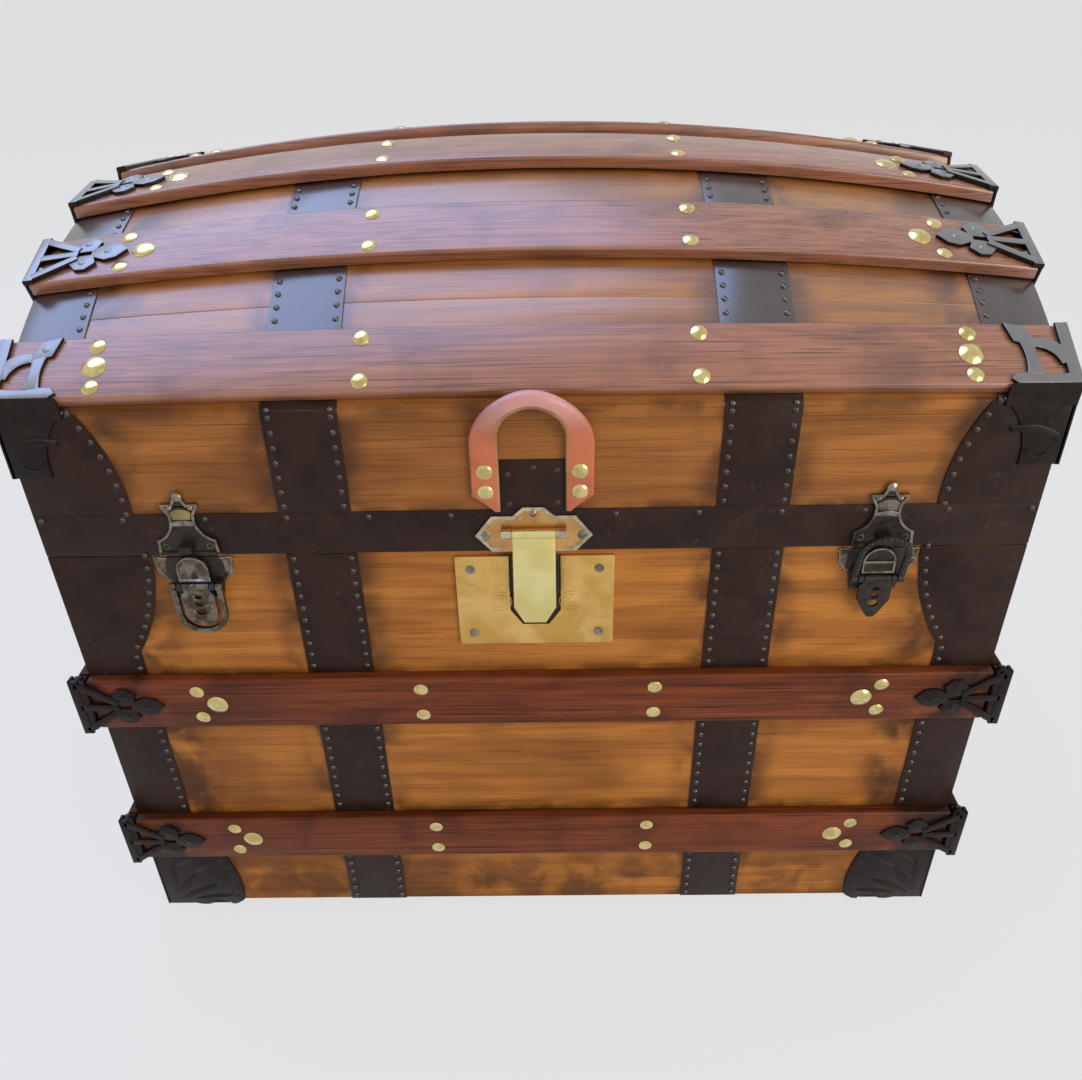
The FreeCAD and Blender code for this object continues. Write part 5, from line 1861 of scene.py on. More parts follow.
@dataclass
class Nails:
    """Large brass nails in the slats."""

    shape: Shape
    small: float = 6.0
    large: float = 8.8
    height_share: float = 0.364
    sides: int = 20
    rings: int = 5
    lip: float = 0.35
    dome_nails: Triple = (310.7, 120.0, 17.0)
    body_nails: Triple = (287.0, 98.0, 14.0)
    shift: float = 15.0

    def half_spots(self, cluster: float, pair: float, offset: float, shift: float) -> list[Triple]:
        """Nails in one half of a slat: a cluster of three and a pair.

        Args:
            cluster: reach of the cluster's small nails from the slat's middle.
            pair: reach of the pair.
            offset: distance of the small nails from the slat's middle line.
            shift: how much less the large nail reaches.

        Returns:
            Radius, reach and distance across of each.
        """
        return [
            (self.small, cluster, offset),
            (self.large, cluster - shift, 0.0),
            (self.small, cluster, -offset),
            (self.small, pair, offset),
            (self.small, pair, -offset),
        ]

    def build(self) -> None:
        """Drive all the nails."""
        dome = self.shape.dome
        top = self.shape.slat_thickness
        places: dict[float, list[Matrix]] = {self.small: [], self.large: []}
        last = len(dome.slat_lines) - 1
        for number, line in enumerate(dome.slat_lines):
            shift = 0.0 if number in (0, last) else self.shift
            for radius, reach, across in self.half_spots(*self.dome_nails, shift):
                for sign in SIDES:
                    places[radius].append(dome.slat_place(reach * sign, line, across, top))
        self.drive("dome_slat_nail_heads", places, Body.LID, "dome_slat_nails")
        places = {self.small: [], self.large: []}
        for low in self.shape.body_slats:
            middle = low + self.shape.slat_width / 2
            for wall in self.shape.broad_walls:
                face = wall.place(self.shape.sheet + top)
                for radius, reach, up in self.half_spots(*self.body_nails, self.shift):
                    for sign in SIDES:
                        places[radius].append(moved(face, reach * sign, middle + up))
        self.drive("body_slat_nail_heads", places, Body.TRUNK, "body_slat_nails")

    def drive(self, name: str, places: dict[float, list[Matrix]], body: Body, node: str) -> None:
        """Put heads of each radius in their places as one piece.

        Args:
            name: the piece's name.
            places: places of the heads, by radius.
            body: what it moves with.
            node: node of the frame that it replaces.
        """
        blank = Blank()
        for radius, spots in places.items():
            head = Blank()
            head.stud(Stud(radius, radius * self.height_share, self.lip, self.rings, self.sides), Matrix())
            blank.stamp(head, spots)
        blank.release(name, NAIL_BRASS, body, [node], crease=50.0)


# Castings


@dataclass(frozen=True)
class TrefoilClamp:
    """Pattern of the slat clamps: an end bar, three ribs that meet in a neck, and three riveted leaves.

    It lies flat, with u inwards from the slat's end, v across the slat and w out.
    """

    half_width: float
    height: float
    bar_width: float = 8.0
    rib_widths: Point = (7.0, 6.0)
    neck: float = 37.0
    pinch: float = 4.0
    rounding: float = 1.1
    leaf_share: float = 0.72
    rivet_radius: float = 3.2
    rivet_share: float = 0.33
    rivet_sides: int = 12
    gusset_share: float = 0.6
    gusset_reach: Point = (-1.0, 9.0)
    gusset_levels: Triple = (4.0, 10.0, 9.0)
    side_leaf: tuple[Point, ...] = ((31, 10), (38, 18.5), (46, 19), (53, 12), (49, 2), (36, 2))
    tip_leaf: tuple[Point, ...] = ((47, -4), (59, -10), (68, -8), (75.5, 0), (68, 8), (59, 10), (47, 4))
    rivets: tuple[Point, ...] = ((42.5, 11), (42.5, -11), (60, 0))
    curl: float = 5.0

    def pattern(self) -> Blank:
        """Flat casting.

        Returns:
            The piece, ready to be wrapped over a slat's end.
        """
        blank = Blank()
        half = self.half_width
        blank.cast(rectangle((0.0, -half), (self.bar_width, half)), self.height, self.rounding)
        spread = half - self.rib_widths[0] / 2
        start = self.bar_width / 2
        for lane in (-1, 0, 1):
            rib = bar_outline((start, spread * lane), (self.neck, self.pinch * lane), self.rib_widths)
            blank.cast(rib, self.height, self.rounding)
        for sign in SIDES:
            near, far = (self.bar_width + reach for reach in self.gusset_reach)
            outer, middle, inner = self.gusset_levels
            tip = (far, sign * (half - middle), sign * self.curl)
            gusset = outline([(near, sign * (half - outer)), tip, (near, sign * inner)])
            blank.cast(gusset, self.height * self.gusset_share, self.rounding / 2)
            leaf = [(u, v * sign) for u, v in self.side_leaf]
            blank.cast(leaf, self.height * self.leaf_share, self.rounding)
        blank.cast(self.tip_leaf, self.height * self.leaf_share, self.rounding)
        head = Stud(self.rivet_radius, self.height * self.rivet_share, sides=self.rivet_sides)
        for u, v in self.rivets:
            blank.stud(head, Matrix.Translation((u, v, self.height * self.leaf_share - HEAD_SINK)))
        return blank


@dataclass
class SlatClamps:
    """Openwork castings on the ends of the bowed slats and round the corners of the body slats."""

    shape: Shape
    gap: float = 0.3
    thickness: float = 3.0
    overhang: float = 2.0
    rib_height: float = 4.0
    end_drop: float = 16.0
    margin: float = 3.0
    knob_radius: float = 6.2
    lap: float = 0.4
    plate_arris: float = 0.8
    post_arris: float = 2.2
    wrap_pitch: float = 9.0

    def build(self) -> None:
        """Cast both kinds."""
        self.on_dome()
        self.on_body()

    def on_dome(self) -> None:
        """Clamps on the four bowed slats between the edge slats."""
        dome = self.shape.dome
        half = self.shape.slat_width / 2
        pattern = TrefoilClamp(half, self.rib_height).pattern()
        corner = (self.thickness - self.gap, half, self.rib_height / 2)
        plate = pattern.block((0.0, -half, -self.end_drop), corner)
        pattern.soften(self.plate_arris, 2, plate)
        pattern.divide(0, self.wrap_pitch)
        end = dome.half_length + self.overhang + self.thickness
        top = self.shape.slat_thickness + self.gap
        blank = Blank()
        for line in dome.slat_lines[1:-1]:
            for sign in SIDES:
                blank.wrap(
                    pattern,
                    lambda spot: dome.on_slat(sign * (end - spot.x), line, spot.y, top + spot.z),
                )
        # Faces that look up take the lighter finish: a painted sheen of the sky on the castings' tops
        blank.tone_skyward(1)
        node = "dome_slat_clamps"
        blank.release("dome_slat_castings", CAST_IRON, Body.LID, [node], also=[SKY_SHEEN_CAST_IRON])

    def on_body(self) -> None:
        """Clamps round the corners of the chest's slats."""
        shape = self.shape
        half = shape.slat_width / 2 + self.margin
        seat = shape.sheet + shape.slat_thickness + self.gap
        outer = seat + self.thickness
        end = outer - self.lap
        pattern = TrefoilClamp(half, self.thickness).pattern()
        blank = Blank()
        for wall in shape.walls:
            for low in shape.body_slats:
                middle = low + shape.slat_width / 2
                place = moved(wall.place(seat), 0.0, middle)
                reach = wall.half_width + end
                for sign in SIDES:
                    blank.wrap(
                        pattern,
                        lambda spot: place @ Vector((sign * (reach - spot.x), spot.y, spot.z)),
                    )
        post = Blank()
        core = outer - 2 * self.lap
        post.block((shape.sheet, shape.sheet, -shape.slat_width / 2), (core, core, shape.slat_width / 2))
        post.soften(self.post_arris, 3)
        middle = (outer + shape.sheet) / 2
        for sign in SIDES:
            radius = self.knob_radius
            knob = Matrix.Translation((middle, middle, sign * (half - radius)))
            bmesh.ops.create_uvsphere(post.mesh, u_segments=16, v_segments=10, radius=radius, matrix=knob)
        dome = shape.dome
        for low in shape.body_slats:
            level = low + shape.slat_width / 2
            for x in SIDES:
                for y in SIDES:
                    blank.wrap(
                        post,
                        lambda spot: Vector(
                            (x * (dome.half_length + spot.x), y * (dome.half_depth + spot.y), level + spot.z)
                        ),
                    )
        blank.release("body_slat_castings", CAST_IRON, Body.TRUNK, ["body_slat_clamps"])


@dataclass
class EdgeCaps:
    """Castings over the ends of the edge slats, with a skirt down the lid's corner."""

    shape: Shape
    gap: float = 0.3
    thickness: float = 3.0
    overhang: float = 2.0
    length: float = 50.0
    skirt_low: float = 492.0
    skirt_top: float = 541.0
    skirt_foot: float = 30.0
    skirt_curve: float = 6.0
    lap: float = 0.5
    plate: float = 2.4
    rounding: float = 0.9
    rivet: Stud = Stud(3.4, 0.8)
    skirt_share: float = 0.6
    wrap_pitch: float = 8.0
    fold_depth: float = 3.0
    fold_share: float = 0.7
    fold_lap: float = 2.0
    flap_reach: Triple = (0.6, -14.0, -7.0)
    end_bar: tuple[Point, ...] = ((0, -26), (9, -26), (9, 26), (0, 26))
    low_bar: tuple[Corner, ...] = ((4, -26), (45, -26), (49.5, -22), (46, -17.5), (37, -17, -2.5), (4, -16))
    stem: tuple[Corner, ...] = ((25, -19), (38, -19, -2.5), (39, 11), (27, 11, -1.5))
    tab: tuple[Point, ...] = ((26, 5), (31, 21.5), (47, 25), (42, 9))
    arch: tuple[Corner, ...] = ((7, -9), (12, -10, -4.0), (28, 4), (28, 11, 4.0), (7, 4))
    scrolls: tuple[tuple[Corner, ...], ...] = (
        ((6, 510, -3.0), (41, 519), (42, 522, 5.0), (6, 516)),
        ((12, 498, 3.0), (27, 503), (28, 506, -5.0), (12, 502)),
    )

    def build(self) -> None:
        """Cast the four caps."""
        pattern = self.pattern()
        blank = Blank()
        for wall, line, turn in zip(self.shape.broad_walls, (0, -1), (1, -1)):
            for sign in SIDES:
                self.cap(blank, pattern, wall, self.shape.dome.slat_lines[line], turn, sign)
        # Faces that look up take the lighter finish: a painted sheen of the sky on the castings' tops
        blank.tone_skyward(1)
        node = "edge_slat_clamps"
        blank.release("edge_slat_castings", CAST_IRON, Body.LID, [node], also=[SKY_SHEEN_CAST_IRON])

    def pattern(self) -> Blank:
        """Openwork of the face that lies on the slat.

        Returns:
            The flat piece.
        """
        blank = Blank()
        for piece in (self.end_bar, self.low_bar, self.stem, self.tab, self.arch):
            blank.cast(outline(piece), self.plate, self.rounding)
        u = sum(corner[0] for corner in self.tab) / len(self.tab)
        v = sum(corner[1] for corner in self.tab) / len(self.tab)
        blank.stud(self.rivet, Matrix.Translation((u, v, self.plate - HEAD_SINK)))
        blank.divide(0, self.wrap_pitch)
        return blank

    def cap(self, blank: Blank, pattern: Blank, wall: Wall, line: float, turn: int, sign: int) -> None:
        """Add one cap.

        Args:
            blank: piece that gets it.
            pattern: the openwork.
            wall: front or back.
            line: depth of the slat's middle line.
            turn: 1 on the front, -1 on the back, where the slat's lower edge is on its other side.
            sign: -1 at the left end, 1 at the right.
        """
        dome = self.shape.dome
        top = self.shape.slat_thickness + self.gap
        inner = dome.half_length + self.overhang + self.gap
        outer = inner + self.thickness
        blank.wrap(
            pattern,
            lambda spot: dome.on_slat(sign * (outer - spot.x), line, turn * spot.y, top + spot.z),
        )
        place = wall.place(self.shape.sheet)
        skirt = outline(
            [
                (self.lap, self.skirt_low),
                (self.skirt_foot, self.skirt_low, -self.skirt_curve),
                (self.length - self.fold_lap, self.skirt_top),
                (self.lap, self.skirt_top),
            ]
        )
        plates = [(skirt, self.thickness * self.skirt_share)]
        plates.extend((outline(scroll), self.thickness) for scroll in self.scrolls)
        for points, depth in plates:
            blank.cast([(sign * (outer - u), z) for u, z in points], depth, self.rounding, place)
        spots = {x: self.section(x * sign, wall, line, turn) for x in (inner, outer, outer - self.length)}
        fold = (0, 1, 4, 5)
        blank.loft([[spots[x][index] for index in fold] for x in (outer, outer - self.length)])
        cheek = (0, 2, 3, 6, 7, 5)
        blank.loft([[spots[x][index] for index in cheek] for x in (inner, outer)])
        blank.loft([self.flap(x * sign, wall) for x in (inner, outer)])

    def section(self, x: float, wall: Wall, line: float, turn: int) -> list[Vector]:
        """Points round the slat's end: those of the fold down to the skirt, and the slat's corners.

        Args:
            x: where the section is along the trunk.
            wall: front or back.
            line: depth of the slat's middle line.
            turn: 1 on the front, -1 on the back.

        Returns:
            The points, in the order that the fold and the cheek pick them from.
        """
        dome = self.shape.dome
        half = self.shape.slat_width / 2 * turn
        top = self.shape.slat_thickness + self.gap
        out = wall.out * (wall.distance + self.shape.sheet)
        base = Vector((x, 0.0, self.skirt_top - self.fold_lap))
        return [
            dome.on_slat(x, line, -half, top + self.plate),
            dome.on_slat(x, line, -half, top - self.fold_depth),
            dome.on_slat(x, line, 0.0, top + self.plate),
            dome.on_slat(x, line, half, top + self.plate),
            base + out,
            base + out + wall.out * self.thickness * self.fold_share,
            dome.on_slat(x, line, half, 0.0),
            dome.on_slat(x, line, -half, 0.0),
        ]

    def flap(self, x: float, wall: Wall) -> list[Vector]:
        """Section of the skirt's return on the trunk's end.

        Args:
            x: where the section is along the trunk.
            wall: front or back.

        Returns:
            Its corners.
        """
        out = wall.out * (wall.distance + self.shape.sheet)
        low, high = self.skirt_low, self.skirt_top
        front, upper, lower = self.flap_reach
        corners = ((front, low), (front, high), (upper, high), (lower, low))
        return [Vector((x, 0.0, z)) + out + wall.out * (away * self.thickness) for away, z in corners]


@dataclass
class FootCaps:
    """Cast caps on the chest's lower corners, scalloped along the floor and carved with leaves."""

    shape: Shape
    thickness: float = 1.6
    relief: float = 2.0
    block_width: float = 60.0
    rounding: float = 0.7
    edge: tuple[Corner, ...] = (
        (-2, 2.5), (26, 2.5, 1.1), (40, 0.4, 1.0), (47, 5.5, -1.5), (56, 5.5, -1.0),
        (63, 0.4, 1.2), (72, 3.5, 0.6), (77, 8.0, 6.5), (64, 82.5), (-2, 82.5),
    )
    leaves: tuple[tuple[Point, Point, float], ...] = (
        ((8, 10), (34, 46), 11.0),
        ((14, 9), (54, 30), 10.0),
        ((7, 16), (14, 58), 9.0),
        ((34, 50), (54, 66), 9.0),
        ((20, 60), (40, 76), 8.0),
        ((28, 9), (66, 14), 7.0),
    )
    inner_edge: tuple[Corner, ...] = ((71.5, 12.0, 6.5), (58.5, 78.0))
    rivet_pitch: float = 11.0
    rivet: Stud = Stud(2.6, 0.6, sides=8)

    def build(self) -> None:
        """Cast the four caps."""
        shape = self.shape
        blank = Blank()
        points = outline(self.edge)
        studs = along(outline(self.inner_edge, closed=False), self.rivet_pitch)
        for wall in shape.walls:
            place = wall.place()
            for sign in SIDES:
                blank.cast(wall.from_corner(sign, points), self.thickness, self.rounding, place)
                for leaf in self.leaves:
                    leaf_points = wall.from_corner(sign, leaf_outline(*leaf))
                    blank.cast(leaf_points, self.relief, self.rounding, place)
                for u, z in wall.from_corner(sign, studs):
                    blank.stud(self.rivet, moved(place, u, z, self.thickness - HEAD_SINK))
        dome = shape.dome
        for x in SIDES:
            for y in SIDES:
                corner = (x * dome.half_length, y * dome.half_depth)
                inner = (corner[0] - x * self.block_width, corner[1] - y * self.block_width)
                low = [min(a, b) for a, b in zip(corner, inner)]
                high = [max(a, b) for a, b in zip(corner, inner)]
                block = blank.block((*low, 0.0), (*high, shape.foot))
                blank.soften(self.rounding, 2, block)
        blank.release("foot_castings", CAST_IRON, Body.TRUNK, ["foot_corner_caps"])


# Lock, latches and handles


@dataclass
class HaspLock:
    """Brass lock plate on the chest, and the hasp that hangs over it from its plate on the lid."""

    shape: Shape
    lock_half: float = 62.5
    lock_low: float = 332.0
    lock_high: float = 418.0
    lock_corner: float = 1.0
    lock_thickness: float = 2.4
    rosette_reach: float = 28.0
    rosette_level: float = 375.0
    rosette_rings: tuple[float, ...] = (9.0, 6.0)
    rosette_ring: Point = (0.7, 0.35)
    rosette_sides: int = 32
    boss: Stud = Stud(2.6, 0.9, sides=16)
    rivet_margin: float = 12.0
    rivet: Stud = Stud(3.8, 1.2, 0.6, sides=20)
    rivet_sink: float = 0.1
    edge_rounding: float = 0.6
    bed_rounding: float = 0.2
    recess: tuple[Point, ...] = ((20, 418), (20, 366), (10.5, 352), (-10.5, 352), (-20, 366), (-20, 418))
    bed: float = 0.9
    slot: tuple[float, float, float, float] = (0.0, 376.0, 4.2, 10.0)
    hasp_plate: tuple[Point, ...] = (
        (-32, 422.9), (32, 422.9), (45, 437.4), (32, 454.5), (16, 454.5),
        (8, 462), (-8, 462), (-16, 454.5), (-32, 454.5), (-45, 437.4),
    )
    plate_thickness: float = 2.2
    plate_rim: float = 2.8
    plate_sink: float = 0.7
    box_half: float = 25.0
    box_levels: Point = (424.0, 443.0)
    box_height: float = 3.0
    box_rounding: float = 0.7
    plate_rivets: tuple[Triple, ...] = ((-37, 437, 3.8), (37, 437, 3.8), (0, 456.5, 2.8))
    plate_rivet: Stud = Stud(3.8, 1.7, 0.5, sides=20)
    plate_rivet_seat: float = 1.2
    pivot_away: float = 7.2
    pivot_level: float = 441.0
    knuckle: float = 3.6
    bar_half: float = 25.0
    hasp_half: float = 16.5
    hasp_length: float = 74.0
    hasp_chamfer: Point = (8.0, 13.0)
    hasp_thickness: float = 3.0
    rest_angle: float = 11.0
    staple: tuple[Point, ...] = ((-1.9, -70.9), (1.9, -70.9), (1.9, -59.1), (-1.9, -59.1))
    staple_reach: float = 15.3
    staple_rounding: float = 0.5
    hasp_rounding: float = 1.0
    knuckle_gap: float = 0.3

    def build(self) -> None:
        """Make the lock plate, the hasp's plate and the hasp."""
        self.lock_plate()
        self.lid_plate()
        self.hasp()

    def lock_plate(self) -> None:
        """Satin plate with two ringed rosettes, four rivets and the recess behind the hasp, whose near-black
        bed is grimy steel and painted shade round the hasp.
        """
        face = self.shape.broad_walls[0].place()
        half, low, high, corner = self.lock_half, self.lock_low, self.lock_high, self.lock_corner
        blank = Blank()
        points = [
            (corner - half, low), (half - corner, low), (half, low + corner),
            (half, high - corner), (half - corner, high), *self.recess,
            (corner - half, high), (-half, high - corner), (-half, low + corner),
        ]
        blank.cast(points, self.lock_thickness, self.edge_rounding, face)
        top = moved(face, 0.0, 0.0, self.lock_thickness)
        for sign in SIDES:
            spot = moved(top, self.rosette_reach * sign, self.rosette_level)
            for radius in self.rosette_rings:
                blank.lathe(ring_profile(radius, *self.rosette_ring), self.rosette_sides, spot)
            blank.stud(self.boss, spot)
        # The recess's near-black bed: grimy steel, and painted shade round the hasp
        bed = Blank()
        bed.pierced(self.recess, [self.slot], self.bed, Matrix(), self.bed_rounding)
        blank.join(bed, 1, face)
        node = "lock_plate"
        blank.release("lock_plate_brass", SATIN_BRASS, Body.TRUNK, [node], also=[GRIME_AND_SHADE_STEEL])
        rivets = Blank()
        for u in (self.rivet_margin - half, half - self.rivet_margin):
            for v in (low + self.rivet_margin, high - self.rivet_margin):
                rivets.stud(self.rivet, moved(top, u, v, -self.rivet_sink))
        rivets.release("lock_rivet_heads", WORN_NICKEL, Body.TRUNK, ["lock_rivets"])

    def lid_plate(self) -> None:
        """Bronzed plate with a rim and the outer knuckles of the hasp's hinge painted pale as highlights,
        and three rivets.
        """
        face = self.shape.broad_walls[0].place(self.shape.sheet)
        blank = Blank()
        blank.panel(self.hasp_plate, self.plate_thickness, self.plate_rim, self.plate_sink, face)
        low, high = self.box_levels
        shell = Blank()
        points = rectangle((-self.box_half, low), (self.box_half, high))
        shell.cast(points, self.box_height, self.box_rounding)
        blank.join(shell, 1, face)
        for sign in SIDES:
            start = self.hasp_half + self.knuckle_gap
            barrel(blank, self.pivot(), self.knuckle, start * sign, self.bar_half * sign)
        rivets = Blank()
        for u, v, radius in self.plate_rivets:
            rivets.stud(replace(self.plate_rivet, radius=radius), moved(face, u, v, self.plate_rivet_seat))
        blank.join(rivets, 2)
        # Rim and knuckles take the pale nickel: a painted highlight
        blank.release(
            "hasp_plate_brass",
            HIGHLIGHT_NICKEL,
            Body.LID,
            ["hasp_plate"],
            also=[BRONZED_BRASS, WORN_NICKEL],
        )

    def pivot(self) -> Matrix:
        """Place of the hasp's pin: u along it, v up, w out of the trunk."""
        spot = (0.0, self.pivot_level, self.pivot_away)
        return self.shape.broad_walls[0].place() @ Matrix.Translation(spot)

    def hasp(self) -> None:
        """Brass strap that hangs from its knuckle, with the staple behind it."""
        half, end = self.hasp_half, -self.hasp_length
        cut, rise = self.hasp_chamfer
        left = [(-half, 0.0), (-half, end + rise), (cut - half, end)]
        points = left + [(-u, v) for u, v in reversed(left)]
        swung = self.pivot() @ Matrix.Rotation(math.radians(-self.rest_angle), 4, "X")
        blank = Blank()
        back = moved(swung, 0.0, 0.0, -self.hasp_thickness / 2)
        blank.cast(points, self.hasp_thickness, self.hasp_rounding, back)
        barrel(blank, swung, self.knuckle, -half, half)
        reach = self.staple_reach
        blank.cast(self.staple, reach, self.staple_rounding, moved(swung, 0.0, 0.0, -reach))
        blank.release("hasp_brass", PALE_BRASS, Body.HASP, ["hasp"])


@dataclass
class Latch:
    """Drawbolt latch on the chest: a winged base, and a lever and a loop on one pin."""

    shape: Shape
    side: Side
    middle: float
    lever_body: Body
    loop_body: Body
    loop_angle: float
    nose: tuple[Corner, ...]
    beaded: bool
    pivot_level: float = 397.0
    pivot_away: float = 8.0
    body: tuple[Corner, ...] = ((-18, -14), (18, -14), (22, 6, 2.0), (19.5, 24), (-19.5, 24, 2.0), (-22, 6))
    tab: tuple[Corner, ...] = ((19, 3), (22.5, 1.5), (29.5, 11), (30.3, 20, 2.0), (27.5, 23.8), (19, 22.5))
    tab_thickness: float = 1.5
    base_thickness: float = 2.0
    ear: Point = (10.8, 14.8)
    ear_radius: float = 3.4
    cover: tuple[Corner, ...] = ((-12.5, 4.2), (12.5, 4.2), (12.5, 14.5, 12.5), (-12.5, 14.5))
    cover_levels: Point = (4.4, 7.6)
    cover_hole: Triple = (8.6, 3.2, 2.2)
    cover_disc: Stud = Stud(1.0, 0.3, sides=16)
    disc_depth: float = 1.0
    cover_rim: Point = (1.3, 0.9)
    cover_steps: int = 14
    tab_rim: Point = (1.3, 0.5)
    plate_rounding: float = 0.6
    ear_rounding: float = 0.3
    overlap: float = 0.4
    stem: tuple[Point, ...] = ((-6, 6), (6, 6), (6, 20), (-6, 20))
    cross_bar: tuple[Point, ...] = ((-12.8, 13.4), (12.8, 13.4), (12.8, 15.6), (-12.8, 15.6))
    lever_half: float = 10.5
    lever_radius: float = 3.2
    lever_thickness: float = 2.5
    holes: tuple[Triple, ...] = ((-9.5, 3.0, 1.8), (-16.0, 3.4, 2.5), (-23.5, 4.0, 3.2))
    loop_outer: float = 20.4
    loop_inner: float = 15.6
    loop_low: float = -45.0
    loop_top: float = 1.0
    loop_band: float = 4.8
    loop_bend: float = 20.0
    loop_thickness: float = 3.2
    loop_rounding: float = 0.9
    bead: Stud = Stud(1.7, 1.3, sides=10)
    bead_pitch: float = 4.6
    bead_start: float = -6.0
    bar_height: float = 0.8
    nose_steps: int = 12
    neck: float = 5.0

    def pivot(self, angle: float = 0.0) -> Matrix:
        """Place of the pin: u along it, v up, w out of the trunk.

        Args:
            angle: degrees that it is swung out by.

        Returns:
            The place.
        """
        place = self.shape.broad_walls[0].place()
        spot = Matrix.Translation((self.middle, self.pivot_level, self.pivot_away))
        return place @ spot @ Matrix.Rotation(math.radians(-angle), 4, "X")

    def build(self) -> None:
        """Make the base, the lever and the loop."""
        self.base()
        self.lever()
        self.loop()

    def base(self) -> None:
        """Dark plate with two pale tabs, ears for the pin, and the round cover over the lever's knuckle."""
        wall = moved(self.pivot(), 0.0, 0.0, -self.pivot_away)
        blank = Blank()
        plate = Blank()
        plate.cast(outline(self.body), self.base_thickness, self.plate_rounding)
        blank.join(plate, 1, wall)
        for sign in SIDES:
            tab = [(u * sign, v) for u, v in outline(self.tab)]
            blank.panel(tab, self.tab_thickness, *self.tab_rim, wall, 2)
        inner, outer = self.ear
        radius = self.ear_radius
        ears = Blank()
        for sign in SIDES:
            barrel(ears, self.pivot(), radius, inner * sign, outer * sign)
            points = rectangle((inner * sign, -radius), (outer * sign, radius))
            ears.cast(points, self.pivot_away, self.ear_rounding, wall)
        low, high = self.cover_levels
        blank.cast(self.stem, low + self.overlap, self.overlap, wall)
        seat = moved(wall, 0.0, 0.0, low)
        face = 1 if self.beaded else 2
        blank.panel(outline(self.cover, self.cover_steps), high - low, *self.cover_rim, seat, face)
        level, wide, tall = self.cover_hole
        spot = Matrix.Translation((0.0, level, high - self.disc_depth))
        hole = spot @ Matrix.Diagonal((wide, tall, 1.0, 1.0))
        ears.stud(self.cover_disc, wall @ hole)
        blank.join(ears, 1)
        if self.beaded:
            seat = moved(wall, 0.0, 0.0, high - self.overlap)
            blank.cast(self.cross_bar, self.bar_height, self.overlap, seat)
        name = f"{self.side.value}_latch_base"
        blank.release(
            f"{name}_plate", WORN_NICKEL, Body.TRUNK, [name], also=[GRIME_AND_SHADE_STEEL, AGED_STEEL]
        )

    def lever(self) -> None:
        """Lever plate with three holes, hung from its knuckle."""
        half = self.lever_half
        blank = Blank()
        neck = -self.neck
        corners = ((-half, 0.0), (-half, neck), *self.nose, (half, neck), (half, 0.0))
        points = outline(corners, self.nose_steps)
        holes = [(0.0, level, wide, tall) for level, wide, tall in self.holes]
        back = moved(self.pivot(), 0.0, 0.0, -self.lever_thickness / 2)
        blank.pierced(points, holes, self.lever_thickness, back)
        barrel(blank, self.pivot(), self.lever_radius, -half, half)
        name = f"{self.side.value}_latch_lever"
        finish = GRIME_AND_SHADE_STEEL if self.beaded else AGED_STEEL
        blank.release(f"{name}_plate", finish, self.lever_body, [name])

    def loop(self) -> None:
        """Flat loop that hangs from the pin, or lies over the catch."""
        outer, inner, bend = self.loop_outer, self.loop_inner, self.loop_bend
        low, top = self.loop_low, self.loop_top
        sag = 1 - math.sqrt(0.5)
        tight = bend - self.loop_band
        rise = low + bend
        corners = (
            (-outer, top), (-outer, rise, bend * sag), (bend - outer, low), (outer - bend, low, bend * sag),
            (outer, rise), (outer, top), (inner, top), (inner, rise, -tight * sag),
            (outer - bend, low + self.loop_band), (bend - outer, low + self.loop_band, -tight * sag),
            (-inner, rise), (-inner, top),
        )
        swung = self.pivot(self.loop_angle)
        back = moved(swung, 0.0, 0.0, -self.loop_thickness / 2)
        blank = Blank()
        blank.cast(outline(corners), self.loop_thickness, self.loop_rounding, back)
        for sign in SIDES:
            barrel(blank, swung, self.ear_radius, inner * sign, outer * sign)
        if self.beaded:
            middle = (outer + inner) / 2
            ring = bend - self.loop_band / 2
            foot = low + self.loop_band / 2
            line = outline(
                (
                    (-middle, self.bead_start), (-middle, rise, ring * sag), (bend - outer, foot),
                    (outer - bend, foot, ring * sag), (middle, rise), (middle, self.bead_start),
                ),
                closed=False,
            )
            turn = swung @ Matrix.Rotation(math.pi, 4, "Y")
            for u, v in along(line, self.bead_pitch):
                blank.stud(self.bead, moved(turn, -u, v, self.loop_thickness / 2 - HEAD_SINK))
        name = f"{self.side.value}_latch_loop"
        finish = GRIME_AND_SHADE_STEEL if self.beaded else AGED_STEEL
        blank.release(f"{name}_band", finish, self.loop_body, [name])


